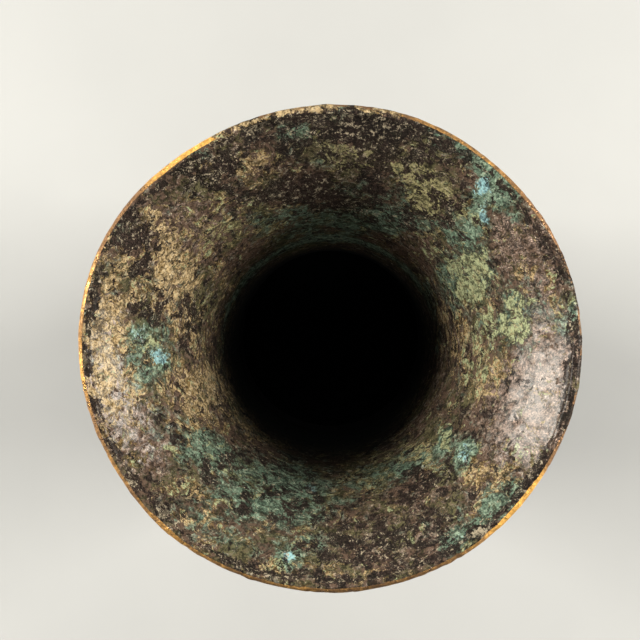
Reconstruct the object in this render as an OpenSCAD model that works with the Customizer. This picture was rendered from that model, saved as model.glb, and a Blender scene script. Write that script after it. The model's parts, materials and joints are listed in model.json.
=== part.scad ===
// A gu: a tall bronze beaker with a trumpet mouth, a swelling drum and a spreading foot.
// It is cast in three sections, which are lapped, pinned and soldered end to end.
// Millimetres. Z is up along the vessel's axis, and the origin is the centre of the foot's resting face.

/* [Mouth and neck] */
// Diameter across the outside of the lip
mouth_d = 160; // [150:1:170]
// Height of the neck casting, from the drum's top face to the top of the lip
neck_h = 122; // [114:1:132]
// Bore of the throat, the narrowest way through the vessel
bore_d = 65; // [60:0.5:68]
// Thickness of the neck's wall
neck_wall = 2.6; // [2.2:0.1:3.2]
// How far the lip's round bead stands out from each face of the wall
lip_proud = 0.5; // [0.2:0.1:1]
// Lean of the wall, from upright, where the long waist turns into the flare
waist_lean = 14; // [10:1:18]
// Lean of the wall, from upright, at the lip
lip_lean = 58; // [52:1:64]

/* [Drum] */
// Height of the drum casting
drum_h = 60; // [54:1:66]
// Diameter across the swell of the drum, without its flanges
drum_d = 86; // [82:1:92]
// Diameter of the plain bands at the drum's two ends
band_d = 76; // [75:0.5:78]
// Height of each plain band
band_h = 8; // [7:0.5:9]
// Step in from a plain band to the start of the swell
band_proud = 0.8; // [0.4:0.1:1.4]
// Thickness of the drum's wall
drum_wall = 3; // [2.4:0.1:3.4]

/* [Foot] */
// Height of the foot casting
foot_h = 78; // [72:1:86]
// Diameter of the foot's rim, which the vessel stands on
foot_d = 112; // [104:1:118]
// Height of the upright rim
rim_h = 8; // [6:0.5:10]
// Thickness of the upright rim
rim_t = 3.6; // [3:0.1:4.5]
// How far the upright rim stands out past the spreading wall above it
rim_step = 2.4; // [1.5:0.1:3.5]
// Thickness of the foot's wall
foot_wall = 2.8; // [2.4:0.1:3.4]

/* [Joints between the castings] */
// How far each spigot enters the drum
spigot_h = 8; // [7:0.5:10]
// Thickness of a spigot's wall
spigot_wall = 1.9; // [1.5:0.1:2.3]
// Gap all round a spigot, which the solder fills
solder_gap = 0.3; // [0.2:0.05:0.4]
// Height of a neck or foot shoulder, which meets the drum's end face
shoulder_h = 3; // [2:0.5:4]
// Diameter of the pins through each joint
pin_d = 2.6; // [2:0.1:3]
// Number of pins in each joint
pins = 4; // [4:4:8]
// Thickness of the cup's floor
floor_t = 2.4; // [1.8:0.1:3]
// Height and width of the solder fillet round the floor
fillet = 2.2; // [1.5:0.1:2.8]
// Free fit of a pin, a plug, the floor or a flange in its seat
fit = 0.05; // [0.03:0.01:0.08]

/* [Flanges] */
// Thickness of a flange
flange_t = 3.2; // [2.6:0.1:4]
// How far a drum flange stands out from the wall
drum_flange_out = 5; // [4:0.5:6.5]
// How far a foot flange stands out from the wall
foot_flange_out = 4; // [3:0.5:5]
// Depth of the groove that a flange is let into
groove = 1.2; // [0.8:0.1:1.5]
// Plain wall left above and below a flange
flange_margin = 3; // [2:0.5:5]
// Height of a notch in a flange's edge
notch_h = 1.6; // [1.2:0.1:2.4]
// Depth of a notch
notch_deep = 2; // [1:0.1:2.5]
// Spacing of the notches
notch_pitch = 7; // [6:0.5:9]

/* [Relief] */
// How far the cast ornament stands out from the wall
relief = 0.9; // [0.5:0.1:1.4]
// Width of a raised line in the ornament
line_w = 2.2; // [1.6:0.1:2.6]
// How far the round eyes stand out from the wall
eye_out = 1.8; // [1.2:0.1:2.4]
// Thickness of a raised bowstring line
string_d = 2.2; // [1.6:0.1:3]
// Distance of the first bowstring line from a shoulder
string_up = 5; // [4:0.5:8]
// Spacing of the two bowstring lines
string_pitch = 5; // [4:0.5:6]
// Plain wall between the bowstring lines and the leaves
leaf_gap = 7; // [4:0.5:10]
// Height of a leaf on the neck
leaf_h = 84; // [70:1:88]
// Width of a leaf at its foot
leaf_w = 44; // [36:1:46]
// Height of the small leaf inside each leaf
inner_leaf_h = 50; // [40:1:56]
// Width of the small leaf at its foot
inner_leaf_w = 22; // [18:1:24]

/* [Core pin plugs] */
// Side of the square plugs where the casting's core was held
plug_w = 3.6; // [3:0.1:4.5]
// Height of the neck's plugs above the neck's joint
neck_plug_up = 48; // [40:1:60]

/* [Hidden] */
$fn = 128;
SIDES = 4;
ANGLES = [for (k = [0:SIDES - 1]) k * 360 / SIDES];

overlap = 0.6;                        // how deep a raised detail is rooted in its wall
reach = mouth_d + foot_d;             // further than any part of the vessel
margin = 1;                           // how far a cut or a hidden end runs past what it has to clear
upright_h = 2;                        // plain upright wall past a shoulder, before it starts to spread
run_on = 1;                           // degrees by which the foot's arc runs on into its rim

bore_r = bore_d / 2;
spigot_r = bore_r + spigot_wall;
socket_r = spigot_r + solder_gap;
band_r = band_d / 2;
neck_r = bore_r + neck_wall;          // outside of the throat
lip_r = neck_wall / 2 + lip_proud;
foot_r = foot_d / 2;

drum_z = foot_h;                      // joint between foot and drum
neck_z = drum_z + drum_h;             // joint between drum and neck
top_z = neck_z + neck_h;              // top of the lip
pin_up = spigot_h / 2;                // pins sit halfway along a spigot

// The neck's wall is two arcs, measured at mid wall: a long gentle waist and then the flare.
waist_z = neck_z + shoulder_h + upright_h;
neck_mid_r = bore_r + neck_wall / 2;
lip_mid = [mouth_d / 2 - lip_r, top_z - lip_r];
neck_arcs = two_arcs(lip_mid[0] - neck_mid_r, lip_mid[1] - waist_z, waist_lean, lip_lean);
waist_R = hundredth(neck_arcs[0]);
flare_R = hundredth(neck_arcs[1]);
waist_x = neck_mid_r + waist_R;       // centre of the waist's arc, at waist_z
flare_x = waist_x - (waist_R - flare_R) * cos(waist_lean);
flare_z = waist_z + (waist_R - flare_R) * sin(waist_lean);

// The drum swells in one arc between its plain bands.
swell_h = drum_h - 2 * band_h;
swell_sag = drum_d / 2 - (band_r - band_proud);
swell_R = hundredth((swell_h * swell_h / 4 + swell_sag * swell_sag) / (2 * swell_sag));
swell_c = [drum_d / 2 - swell_R, drum_z + drum_h / 2];
lining_h = spigot_h + floor_t + fillet + margin;   // depth of the straight socket at each end

// The foot's wall is one arc, upright at the top and leaning out where it meets the rim.
spread_top = foot_h - shoulder_h - upright_h;
foot_top_r = bore_r + foot_wall / 2;
spread_dr = foot_r - rim_step - foot_wall / 2 - foot_top_r;
spread_dz = spread_top - rim_h;
spread_lean = 2 * atan(spread_dr / spread_dz);
spread_R = hundredth(spread_dz / sin(spread_lean));
spread_c = [foot_top_r + spread_R, spread_top];

floor_z = drum_z + spigot_h;          // the floor lies on the end of the foot's spigot

// Ornament zones, as heights on each casting
string_z = shoulder_h + string_up;    // first bowstring line, from the joint
leaf_z = neck_z + string_z + string_pitch + leaf_gap;
foot_strings_z = foot_h - string_z;   // first bowstring line on the foot
mask_h = swell_h - 2 * flange_margin;
drum_mask_w = face_w(drum_d / 2);
drum_flange_span = [drum_z + band_h + flange_margin, neck_z - band_h - flange_margin];
foot_flange_span = [rim_h + 2 * flange_margin, foot_strings_z - string_pitch - string_d - flange_margin];
foot_mask_h = foot_flange_span[1] - foot_flange_span[0];
foot_mask_z = (foot_flange_span[0] + foot_flange_span[1]) / 2;
foot_mask_w = face_w(foot_out(foot_mask_z));
foot_mask_lean = asin((spread_top - foot_mask_z) / (spread_R - foot_wall / 2));
neck_plug_z = neck_z + neck_plug_up;
foot_plug_z = rim_h + flange_margin;  // in the plain wall between the rim and the masks

// Radii of two tangent arcs that together rise dz and widen dr, leaning from upright to a and then to b
function two_arcs(dr, dz, a, b) =
    let (p = 1 - cos(a), q = cos(a) - cos(b), s = sin(a), t = sin(b) - sin(a), det = p * t - q * s)
    [(dr * t - q * dz) / det, (p * dz - s * dr) / det];

// An arc's radius to the hundredth, so that a straight stretch and the arcs after it meet without a step
function hundredth(x) = round(x * 100) / 100;

// Width of a mask's half, seen square on: what is left between two flanges on a wall of radius r
function face_w(r) = sqrt(2) * r - flange_t - 2 * line_w;

// How far a mask's eye is from its nose flange, in a half mask of width w
function eye_place(w) = w * 0.32;

// Outside radius of a casting at a height
function neck_out(z) =
    z < waist_z ? neck_r
    : z < waist_z + (waist_R - neck_wall / 2) * sin(waist_lean)
        ? waist_x - sqrt(pow(waist_R - neck_wall / 2, 2) - pow(z - waist_z, 2))
        : flare_x - sqrt(pow(flare_R - neck_wall / 2, 2) - pow(z - flare_z, 2));
function foot_out(z) =
    z > spread_top ? foot_top_r + foot_wall / 2
    : spread_c[0] - sqrt(pow(spread_R - foot_wall / 2, 2) - pow(z - spread_c[1], 2));

// A ring of radii a and b about c
module ring(c, a, b) {
    translate(c) difference() {
        circle(b);
        circle(a);
    }
}

// The quarter of the plane or less, seen from c, between two directions
module wedge(c, from, to) {
    translate(c) polygon([[0, 0], reach * 4 * [cos(from), sin(from)], reach * 4 * [cos(to), sin(to)]]);
}

// Part of a ring about c, from radius a to radius b, between two directions less than 90 degrees apart
module arc_band(c, a, b, from, to) {
    intersection() {
        ring(c, a, b);
        wedge(c, from, to);
    }
}

// A layer along the outer face of the neck, from "under" below it to "over" above it.
// The flare is drawn in the frame of the line on which the two arcs meet.
module neck_layer(under, over) {
    low = -neck_wall / 2 - over;
    high = -neck_wall / 2 + under;
    translate([neck_mid_r, waist_z]) {
        translate([-high, neck_z - waist_z]) square([high - low, waist_z - neck_z]);
        intersection() {
            ring([waist_R, 0], waist_R + low, waist_R + high);
            translate([-reach, 0]) square(2 * reach);
            translate([waist_R, 0]) rotate(-waist_lean) wedge([0, 0], 180, 240);
        }
        translate([waist_R, 0]) rotate(-waist_lean)
            arc_band([flare_R - waist_R, 0], flare_R + low, flare_R + high,
                     180, 180 - lip_lean + waist_lean);
    }
}

// The same for the foot, above its upright rim
module foot_layer(under, over) {
    skin = -foot_wall / 2;
    translate([foot_top_r + foot_wall / 2 - under, spread_top]) square([under + over, foot_h - spread_top]);
    arc_band(spread_c, spread_R + skin - over, spread_R + skin + under, 180, 180 + spread_lean + run_on);
}

// The same for the swell of the drum
module drum_layer(under, over) {
    lean = asin(swell_h / 2 / swell_R);
    arc_band(swell_c, swell_R - under, swell_R + over, -lean, lean);
}

module bowstrings(z, step, r1, r2) {
    translate([r1, z]) circle(d = string_d);
    translate([r2, z + step]) circle(d = string_d);
}

module neck_profile() {
    neck_layer(neck_wall, 0);
    translate(lip_mid) circle(lip_r);
    translate([bore_r, neck_z]) square([band_r - bore_r, shoulder_h]);
    translate([bore_r, neck_z - spigot_h]) square([spigot_wall, spigot_h + margin]);
    z = neck_z + string_z;
    bowstrings(z, string_pitch, neck_out(z), neck_out(z + string_pitch));
}

module foot_profile() {
    foot_layer(foot_wall, 0);
    translate([foot_r - rim_t, 0]) square([rim_t, rim_h]);
    translate([foot_r - rim_step - foot_wall, rim_h / 2]) square([foot_wall, rim_h / 2]);
    translate([bore_r, foot_h - shoulder_h]) square([band_r - bore_r, shoulder_h]);
    translate([bore_r, foot_h - margin]) square([spigot_wall, spigot_h + margin]);
    z = foot_strings_z;
    bowstrings(z, -string_pitch, foot_out(z), foot_out(z - string_pitch));
}

module drum_profile() {
    difference() {
        union() {
            translate([0, drum_z]) square([band_r, band_h]);
            translate([0, neck_z - band_h]) square([band_r, band_h]);
            intersection() {
                translate(swell_c) circle(swell_R);
                translate([0, drum_z + band_h / 2]) square([reach, drum_h - band_h]);
            }
        }
        translate([-margin, drum_z - margin]) square([socket_r + margin, drum_h + 2 * margin]);
        intersection() {
            translate(swell_c) circle(swell_R - drum_wall);
            translate([0, drum_z + lining_h]) square([reach, drum_h - 2 * lining_h]);
        }
    }
}

// Lays a flat drawing (x across, y up) on one side of the vessel, as a block that cuts through its wall
module project(angle) {
    rotate([0, 0, angle - 90]) rotate([90, 0, 180]) linear_extrude(reach) children();
}

// A pointed leaf that stands on the line y = 0
module leaf(w, h) {
    polygon([[-w / 2, 0], [w / 2, 0], [w * 0.43, h * 0.3], [w * 0.28, h * 0.62], [0, h],
             [-w * 0.28, h * 0.62], [-w * 0.43, h * 0.3]]);
}

// The outline of a leaf as a raised line, which is thicker at the tip, where the two sides meet
module leaf_line(w, h) {
    tip = 6 * line_w;
    difference() {
        leaf(w, h);
        translate([0, line_w]) leaf(w - 2 * line_w, h - tip);
    }
}

// A hook at the end of a raised line: a ring of mean radius r about "at", open over a quarter from "open".
// It is a little thicker than the line, so that their edges cross instead of just touching.
module hook(at, r, open) {
    half = line_w * 5 / 8;
    difference() {
        ring(at, r - half, r + half);
        wedge(at, open, open + 90);
    }
}

// A straight raised line that starts at "from"; its size is across and up
module bar(from, across, up) {
    translate(from - [line_w / 2, line_w / 2]) square([across + line_w, up + line_w]);
}

// Half of an animal mask: its nose is at x = 0, its tail is at x = w and the eye's height is y = 0
module half_mask(w, h) {
    nose = w / 10;
    brow = h / 2 - line_w;
    curl = h / 8;                     // mean radius of the horn, the jaw, the claw and the tail
    eye = eye_place(w);
    bar([nose, -brow], 0, brow + curl);
    hook([nose + curl, -brow + curl], curl, 90);
    ring([eye, 0], h / 6 - line_w / 2, h / 6 + line_w / 2);
    bar([nose, brow], w * 0.45, 0);
    hook([nose + w * 0.45, brow - curl], curl, 180);
    bar([eye + h / 6, 0], w * 0.9 - curl - eye - h / 6, 0);
    hook([w * 0.9 - curl, curl], curl, 180);
    bar([w * 0.62, -brow + curl], 0, brow - curl);
    hook([w * 0.62 - curl, -brow + curl], curl, 90);
}

// One mask on each of two opposite sides: four halves, each between a nose flange and a tail flange
module masks(z, w, h) {
    for (k = [0:SIDES - 1])
        project(45 + 90 * k) translate([0, z]) mirror([k % 2, 0]) translate([-w / 2, 0]) half_mask(w, h);
}

// A round eye in each half mask, square to the wall, which has radius r there and faces up by "lean"
module eyes(z, w, h, r, lean) {
    turn = asin((w / 2 - eye_place(w)) / r);
    for (k = [0:SIDES - 1]) rotate([0, 0, 45 + 90 * k + (k % 2 == 0 ? -1 : 1) * turn]) translate([r, 0, z])
        rotate([0, 90 - lean, 0]) translate([0, 0, -overlap])
            cylinder(r1 = h / 11, r2 = h / 16, h = overlap + eye_out);
}

// The edge-on outline of a flange: a plain strip with teeth along its outer edge
module flange_teeth(low, high) {
    count = max(1, floor((high - low - notch_h) / notch_pitch));
    tooth = (high - low - count * notch_h) / (count + 1);
    for (i = [0:count]) translate([0, low + i * (tooth + notch_h)]) square([reach, tooth]);
}

module drum_flange_outline() {
    low = drum_flange_span[0];
    high = drum_flange_span[1];
    intersection() {
        drum_layer(groove - fit, drum_flange_out - notch_deep);
        translate([0, low]) square([reach, high - low]);
    }
    intersection() {
        drum_layer(groove - fit, drum_flange_out);
        flange_teeth(low, high);
    }
}

module foot_flange_outline() {
    low = foot_flange_span[0];
    high = foot_flange_span[1];
    intersection() {
        foot_layer(groove - fit, foot_flange_out - notch_deep);
        translate([0, low]) square([reach, high - low]);
    }
    intersection() {
        foot_layer(groove - fit, foot_flange_out);
        flange_teeth(low, high);
    }
}

module upright_plate(angle, thickness) {
    rotate([0, 0, angle]) rotate([90, 0, 0]) linear_extrude(thickness, center = true) children();
}

// The four grooves that the drum's flanges are let into
module drum_grooves() {
    for (a = ANGLES) upright_plate(a, flange_t + 2 * fit) intersection() {
        drum_layer(groove, groove);
        translate([0, drum_flange_span[0] - fit])
            square([reach, drum_flange_span[1] - drum_flange_span[0] + 2 * fit]);
    }
}

// The same on the foot
module foot_grooves() {
    for (a = ANGLES) upright_plate(a, flange_t + 2 * fit) intersection() {
        foot_layer(groove, groove);
        translate([0, foot_flange_span[0] - fit])
            square([reach, foot_flange_span[1] - foot_flange_span[0] + 2 * fit]);
    }
}

// Radial pins between the flanges, from the bore to the outside of a plain band
module pin_row(z, r, from, to) {
    for (k = [0:pins - 1]) rotate([0, 0, 45 + k * 360 / pins]) translate([from, 0, z])
        rotate([0, 90, 0]) cylinder(r = r, h = to - from);
}

module plug_row(z, side) {
    for (a = ANGLES) rotate([0, 0, a + 45]) translate([0, -side / 2, z - side / 2])
        cube([reach, side, side]);
}

module neck_casting() {
    color("olivedrab") difference() {
        union() {
            rotate_extrude() neck_profile();
            for (a = ANGLES) intersection() {
                rotate_extrude() neck_layer(overlap, relief);
                project(a) translate([0, leaf_z]) {
                    leaf_line(leaf_w, leaf_h);
                    translate([0, 2 * line_w]) leaf_line(inner_leaf_w, inner_leaf_h);
                }
            }
        }
        pin_row(neck_z - pin_up, pin_d / 2 + fit, 0, reach);
        plug_row(neck_plug_z, plug_w);
    }
}

module drum_casting() {
    color("darkolivegreen") difference() {
        union() {
            rotate_extrude() drum_profile();
            intersection() {
                rotate_extrude() drum_layer(overlap, relief);
                masks(swell_c[1], drum_mask_w, mask_h);
            }
            eyes(swell_c[1], drum_mask_w, mask_h, drum_d / 2, 0);
        }
        drum_grooves();
        pin_row(drum_z + pin_up, pin_d / 2 + fit, 0, reach);
        pin_row(neck_z - pin_up, pin_d / 2 + fit, 0, reach);
    }
}

module foot_casting() {
    color("olivedrab") difference() {
        union() {
            rotate_extrude() foot_profile();
            intersection() {
                rotate_extrude() foot_layer(overlap, relief);
                masks(foot_mask_z, foot_mask_w, foot_mask_h);
            }
            eyes(foot_mask_z, foot_mask_w, foot_mask_h, foot_out(foot_mask_z), foot_mask_lean);
        }
        foot_grooves();
        pin_row(drum_z + pin_up, pin_d / 2 + fit, 0, reach);
        plug_row(foot_plug_z, plug_w);
    }
}

module cup_floor() {
    color("dimgray") translate([0, 0, floor_z]) cylinder(r = socket_r - fit, h = floor_t);
}

// Solder that fills the gap round a spigot
module joint_solder(z) {
    color("silver") difference() {
        translate([0, 0, z]) rotate_extrude() translate([spigot_r, 0]) square([solder_gap, spigot_h]);
        pin_row(z + pin_up, pin_d / 2 + fit, 0, reach);
    }
}

module floor_solder() {
    color("silver") rotate_extrude() translate([socket_r, floor_z + floor_t])
        polygon([[0, 0], [-fillet, 0], [0, fillet]]);
}

module joint_pins(z) {
    color("goldenrod") pin_row(z, pin_d / 2, bore_r + fit, band_r - fit);
}

module neck_core_plugs() {
    color("darkkhaki") intersection() {
        rotate_extrude() neck_layer(neck_wall, 0);
        plug_row(neck_plug_z, plug_w - 2 * fit);
    }
}

module foot_core_plugs() {
    color("darkkhaki") intersection() {
        rotate_extrude() foot_layer(foot_wall, 0);
        plug_row(foot_plug_z, plug_w - 2 * fit);
    }
}

module drum_flange(k) {
    color("peru") upright_plate(ANGLES[k - 1], flange_t) drum_flange_outline();
}

module foot_flange(k) {
    color("peru") upright_plate(ANGLES[k - 1], flange_t) foot_flange_outline();
}

neck_casting();
drum_casting();
foot_casting();
cup_floor();
joint_solder(neck_z - spigot_h);  // neck_joint_solder
joint_solder(drum_z);  // foot_joint_solder
floor_solder();
joint_pins(neck_z - pin_up);  // neck_joint_pins
joint_pins(drum_z + pin_up);  // foot_joint_pins
neck_core_plugs();
foot_core_plugs();
for (k = [1:SIDES]) {
    drum_flange(k);
    foot_flange(k);
}
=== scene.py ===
"""A bronze gu vessel in a mottled patina: trumpet mouth and neck, flanged drum and spreading foot."""
import json
import math

import bmesh
import bpy
from bpy.props import FloatProperty, FloatVectorProperty, IntProperty, PointerProperty
from mathutils import Matrix, Vector, noise

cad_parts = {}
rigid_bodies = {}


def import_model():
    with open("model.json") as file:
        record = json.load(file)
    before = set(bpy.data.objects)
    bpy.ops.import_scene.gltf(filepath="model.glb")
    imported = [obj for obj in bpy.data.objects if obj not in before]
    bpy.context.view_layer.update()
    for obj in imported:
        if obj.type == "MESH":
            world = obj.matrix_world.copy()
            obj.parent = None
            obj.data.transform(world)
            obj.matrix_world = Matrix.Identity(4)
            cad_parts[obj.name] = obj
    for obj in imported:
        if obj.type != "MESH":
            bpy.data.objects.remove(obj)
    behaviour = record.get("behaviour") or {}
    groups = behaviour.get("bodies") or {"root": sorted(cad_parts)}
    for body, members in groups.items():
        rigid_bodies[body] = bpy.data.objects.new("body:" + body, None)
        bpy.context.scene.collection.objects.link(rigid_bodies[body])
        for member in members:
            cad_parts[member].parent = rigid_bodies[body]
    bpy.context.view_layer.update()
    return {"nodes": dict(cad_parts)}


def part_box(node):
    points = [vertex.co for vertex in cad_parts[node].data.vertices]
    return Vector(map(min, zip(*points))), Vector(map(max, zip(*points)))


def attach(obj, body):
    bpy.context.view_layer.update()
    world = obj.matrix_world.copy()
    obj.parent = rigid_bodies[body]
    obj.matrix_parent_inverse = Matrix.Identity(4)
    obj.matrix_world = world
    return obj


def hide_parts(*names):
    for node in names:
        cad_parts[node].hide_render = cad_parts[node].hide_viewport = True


bl_info = {
    "name": "Bronze Gu Vessel",
    "version": (1, 0, 0),
    "blender": (4, 5, 0),
    "location": "3D View > Sidebar > Gu Vessel",
    "description": "Models a bronze gu from castings, flanges, joints and raised ornament, with its patina",
    "category": "Add Mesh",
}

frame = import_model()

MM = 0.001
UP = Vector((0, 0, 1))
BODY = "root"                            # the only body, because nothing on the vessel moves
SIDES = 4                                # flanges, leaves, masks and plugs in a ring
MERGE = 1e-7                             # points of a turned solid that are closer than this are one

# Steps round a turned solid. Those of a casting keep the neck's mesh under 200,000 triangles.
CASTING_STEPS = 392
FLOOR_STEPS = 96
BOSS_STEPS = 28
PIN_STEPS = 24

neck_low, neck_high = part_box("neck_casting")
drum_low, drum_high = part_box("drum_casting")
foot_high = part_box("foot_casting")[1]
floor_low, floor_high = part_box("cup_floor")


def length(name, default, description):
    return FloatProperty(name=name, default=default, description=description, unit="LENGTH", precision=4)


def slope(name, degrees, description):
    return FloatProperty(name=name, default=math.radians(degrees), description=description, unit="ROTATION")


def shade(name, default, description):
    return FloatVectorProperty(
        name=name, default=default, description=description, subtype="COLOR", size=3, min=0, max=1
    )


class VesselSizes(bpy.types.PropertyGroup):
    """Sizes of the castings, the joints and the ornament"""

    mouth: length("Mouth", 2 * neck_high.x, "Widest diameter across the lip")
    mouth_short: length("Mouth, short way", 2 * neck_high.x * 0.969, "Diameter across the lip the short way")
    throat: length("Throat", 65 * MM, "Bore of the throat")
    neck_wall: length("Neck wall", 2.6 * MM, "Thickness of the neck's wall")
    lip_proud: length("Lip bead", 0.5 * MM, "How far the lip's bead stands out from each face of the wall")
    waist_lean: slope("Waist lean", 14, "Lean of the wall at the top of the waist")
    lip_lean: slope("Lip lean", 58, "Lean of the wall at the lip")
    drum: length("Drum", 86 * MM, "Diameter of the drum's swell")
    band: length("Plain bands", 76 * MM, "Diameter of the drum's plain bands")
    band_height: length("Band height", 8 * MM, "Height of a plain band")
    band_step: length("Band step", 0.8 * MM, "Step in from a plain band to the swell")
    drum_wall: length("Drum wall", 3 * MM, "Thickness of the drum's wall")
    foot: length("Foot", 2 * foot_high.x, "Diameter of the foot's rim")
    rim_height: length("Rim height", 8 * MM, "Height of the foot's upright rim")
    rim_wall: length("Rim wall", 3.6 * MM, "Thickness of the foot's rim")
    rim_step: length("Rim step", 2.4 * MM, "How far the rim stands out past the wall above it")
    foot_wall: length("Foot wall", 2.8 * MM, "Thickness of the foot's wall")
    spigot_wall: length("Spigot wall", 1.9 * MM, "Thickness of a spigot's wall")
    solder_gap: length("Solder gap", 0.3 * MM, "Gap that the solder fills")
    lining: length("Socket depth", 13.6 * MM, "Depth of the drum's straight sockets")
    shoulder: length("Shoulder", 3 * MM, "Height of the shoulders at the joints")
    upright: length("Upright wall", 2 * MM, "Upright wall past a shoulder")
    string: length("Bowstring", 2.2 * MM, "Thickness of a bowstring line")
    string_up: length("Bowstring place", 5 * MM, "Distance of the first bowstring line from a shoulder")
    string_pitch: length("Bowstring spacing", 5 * MM, "Spacing of the bowstring lines")
    flange: length("Flange", 3.2 * MM, "Thickness of a flange")
    drum_flange_out: length("Drum flange", 5 * MM, "How far a drum flange stands out")
    foot_flange_out: length("Foot flange", 4 * MM, "How far a foot flange stands out")
    groove: length("Flange groove", 1.2 * MM, "Depth of a flange's groove")
    notch: length("Notch", 1.6 * MM, "Width of a flange's notch")
    notch_depth: length("Notch depth", 2 * MM, "Depth of a flange's notch")
    notch_pitch: length("Notch spacing", 7 * MM, "Spacing of the notches")
    margin: length("Flange margin", 3 * MM, "Plain wall above and below a flange")
    relief: length("Relief", 0.9 * MM, "Height of the broad raised lines")
    eye: length("Eye", 1.8 * MM, "How far an eye stands out")
    fine_line: length("Fine line", 0.55 * MM, "Width of a line of the ground")
    ground_relief: length("Ground relief", 0.5 * MM, "Height of the ground's lines")
    leaf_height: length("Leaf height", 84 * MM, "Height of a leaf on the neck")
    leaf_width: length("Leaf width", 44 * MM, "Width of a leaf at its foot")
    leaf_gap: length("Leaf gap", 7 * MM, "Plain wall below the leaves")
    meander: length("Meander", 4.6 * MM, "Pitch of the squared spirals in the ground")
    pin: length("Pin", 2.6 * MM, "Diameter of a joint pin")
    plug: length("Plug", 3.5 * MM, "Side of a core plug")
    plug_up: length("Neck plug place", 48 * MM, "Height of the neck's plugs above its joint")
    pins: IntProperty(name="Pins", default=4, min=4, max=8, description="Number of pins in each joint")


class PatinaColours(bpy.types.PropertyGroup):
    """Colours of the metal and of what has grown on it, with the painted shade of the depth and painted
    glints on the crust
    """

    crust: shade("Dark crust", (0.006, 0.005, 0.004), "Near-black cuprite crust")
    char: shade("Brown crust", (0.035, 0.023, 0.019), "Browner parts of the crust")
    # painted glints on the tops of the crust's grain
    crust_glint: shade("Crust glints", (0.098, 0.070, 0.060), "Painted glints on the tops of the crust")
    crumb: shade("Pale crumbs", (0.31, 0.265, 0.19), "Pale crumbs that stand in the crust")
    # painted shade: near-black that stands in for the dark deep in the throat and inside the vessel
    soot: shade("Depth", (0.0032, 0.0048, 0.0046), "Painted shade deep in the throat")
    brown: shade("Brown", (0.064, 0.042, 0.030), "Dark brown patina")
    bare: shade("Satin brown", (0.182, 0.132, 0.106), "Smooth grey-brown patina that takes a satin shine")
    film: shade("Olive film", (0.070, 0.064, 0.032), "Thin olive film over the brown")
    earth: shade("Earth", (0.34, 0.255, 0.142), "Tan burial earth")
    ochre: shade("Ochre", (0.135, 0.090, 0.038), "Darker yellow earth")
    pale: shade("Pale earth", (0.42, 0.34, 0.22), "Palest tops of the earth")
    olive: shade("Olive earth", (0.225, 0.205, 0.105), "Yellow-olive earth")
    veil: shade("Green veil", (0.036, 0.058, 0.040), "Thin dark green film")
    green: shade("Verdigris", (0.078, 0.122, 0.088), "Dull malachite green")
    mint: shade("Pale verdigris", (0.21, 0.275, 0.205), "Paler green on the tops")
    leaf: shade("Yellow green", (0.22, 0.245, 0.14), "Pale yellow-green scale")
    azure: shade("Azurite", (0.19, 0.34, 0.37), "Light blue specks")
    gold: shade("Bare bronze", (0.72, 0.40, 0.10), "Bare golden metal where the lip is rubbed")
    copper: shade("Coppery edge", (0.165, 0.092, 0.045), "Orange-brown metal beside the rubbed places")
    tin: shade("Solder", (0.10, 0.10, 0.095), "Dull tin and lead solder")


def sizes():
    return bpy.context.scene.gu_sizes


def colours():
    return bpy.context.scene.gu_colours


# Walls

def two_arcs(widening, climb, lean_a, lean_b):
    """Radii of two tangent arcs that rise and widen together, leaning from upright to a and then to b."""
    p = 1 - math.cos(lean_a)
    q = math.cos(lean_a) - math.cos(lean_b)
    s = math.sin(lean_a)
    t = math.sin(lean_b) - math.sin(lean_a)
    det = p * t - q * s
    return (widening * t - q * climb) / det, (p * climb - s * widening) / det


class Wall:
    """A casting's wall. Its radius depends on the height and on an offset outwards, such as its face."""

    face = 0

    def outside(self, z):
        return self.radius(z, self.face)


class NeckWall(Wall):
    """The neck's wall: upright, then a long waist arc, then the flare. Offsets start in mid wall."""

    def __init__(self, s):
        self.joint = drum_high.z
        self.top = neck_high.z
        self.half = self.face = s.neck_wall / 2
        self.lip = self.half + s.lip_proud
        self.waist_z = self.joint + s.shoulder + s.upright
        self.waist_lean = s.waist_lean
        self.lip_lean = s.lip_lean
        self.mid = s.throat / 2 + self.half
        self.lip_mid = (s.mouth / 2 - self.lip, self.top - self.lip)
        self.waist_r, self.flare_r = two_arcs(
            self.lip_mid[0] - self.mid, self.lip_mid[1] - self.waist_z, s.waist_lean, s.lip_lean
        )
        self.waist_x = self.mid + self.waist_r
        self.flare_x = self.waist_x - (self.waist_r - self.flare_r) * math.cos(s.waist_lean)
        self.flare_z = self.waist_z + (self.waist_r - self.flare_r) * math.sin(s.waist_lean)

    def radius(self, z, offset):
        if z < self.waist_z:
            return self.mid + offset
        waist = self.waist_r - offset
        if z < self.waist_z + waist * math.sin(self.waist_lean):
            return self.waist_x - math.sqrt(waist ** 2 - (z - self.waist_z) ** 2)
        flare = self.flare_r - offset
        return self.flare_x - math.sqrt(max(flare ** 2 - (z - self.flare_z) ** 2, 0))

    def line(self, offset, low, step):
        """Points up the wall from the height low to the lip, about a step apart."""
        points = []
        count = max(1, round((self.waist_z - low) / step))
        points += [(self.mid + offset, low + (self.waist_z - low) * i / count) for i in range(count)]
        arcs = (
            (self.waist_x, self.waist_z, self.waist_r - offset, 0, self.waist_lean),
            (self.flare_x, self.flare_z, self.flare_r - offset, self.waist_lean, self.lip_lean),
        )
        for x, z, r, lean_a, lean_b in arcs:
            count = round(r * (lean_b - lean_a) / step)
            for i in range(count):
                lean = lean_a + (lean_b - lean_a) * i / count
                points.append((x - r * math.cos(lean), z + r * math.sin(lean)))
        return points


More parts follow.
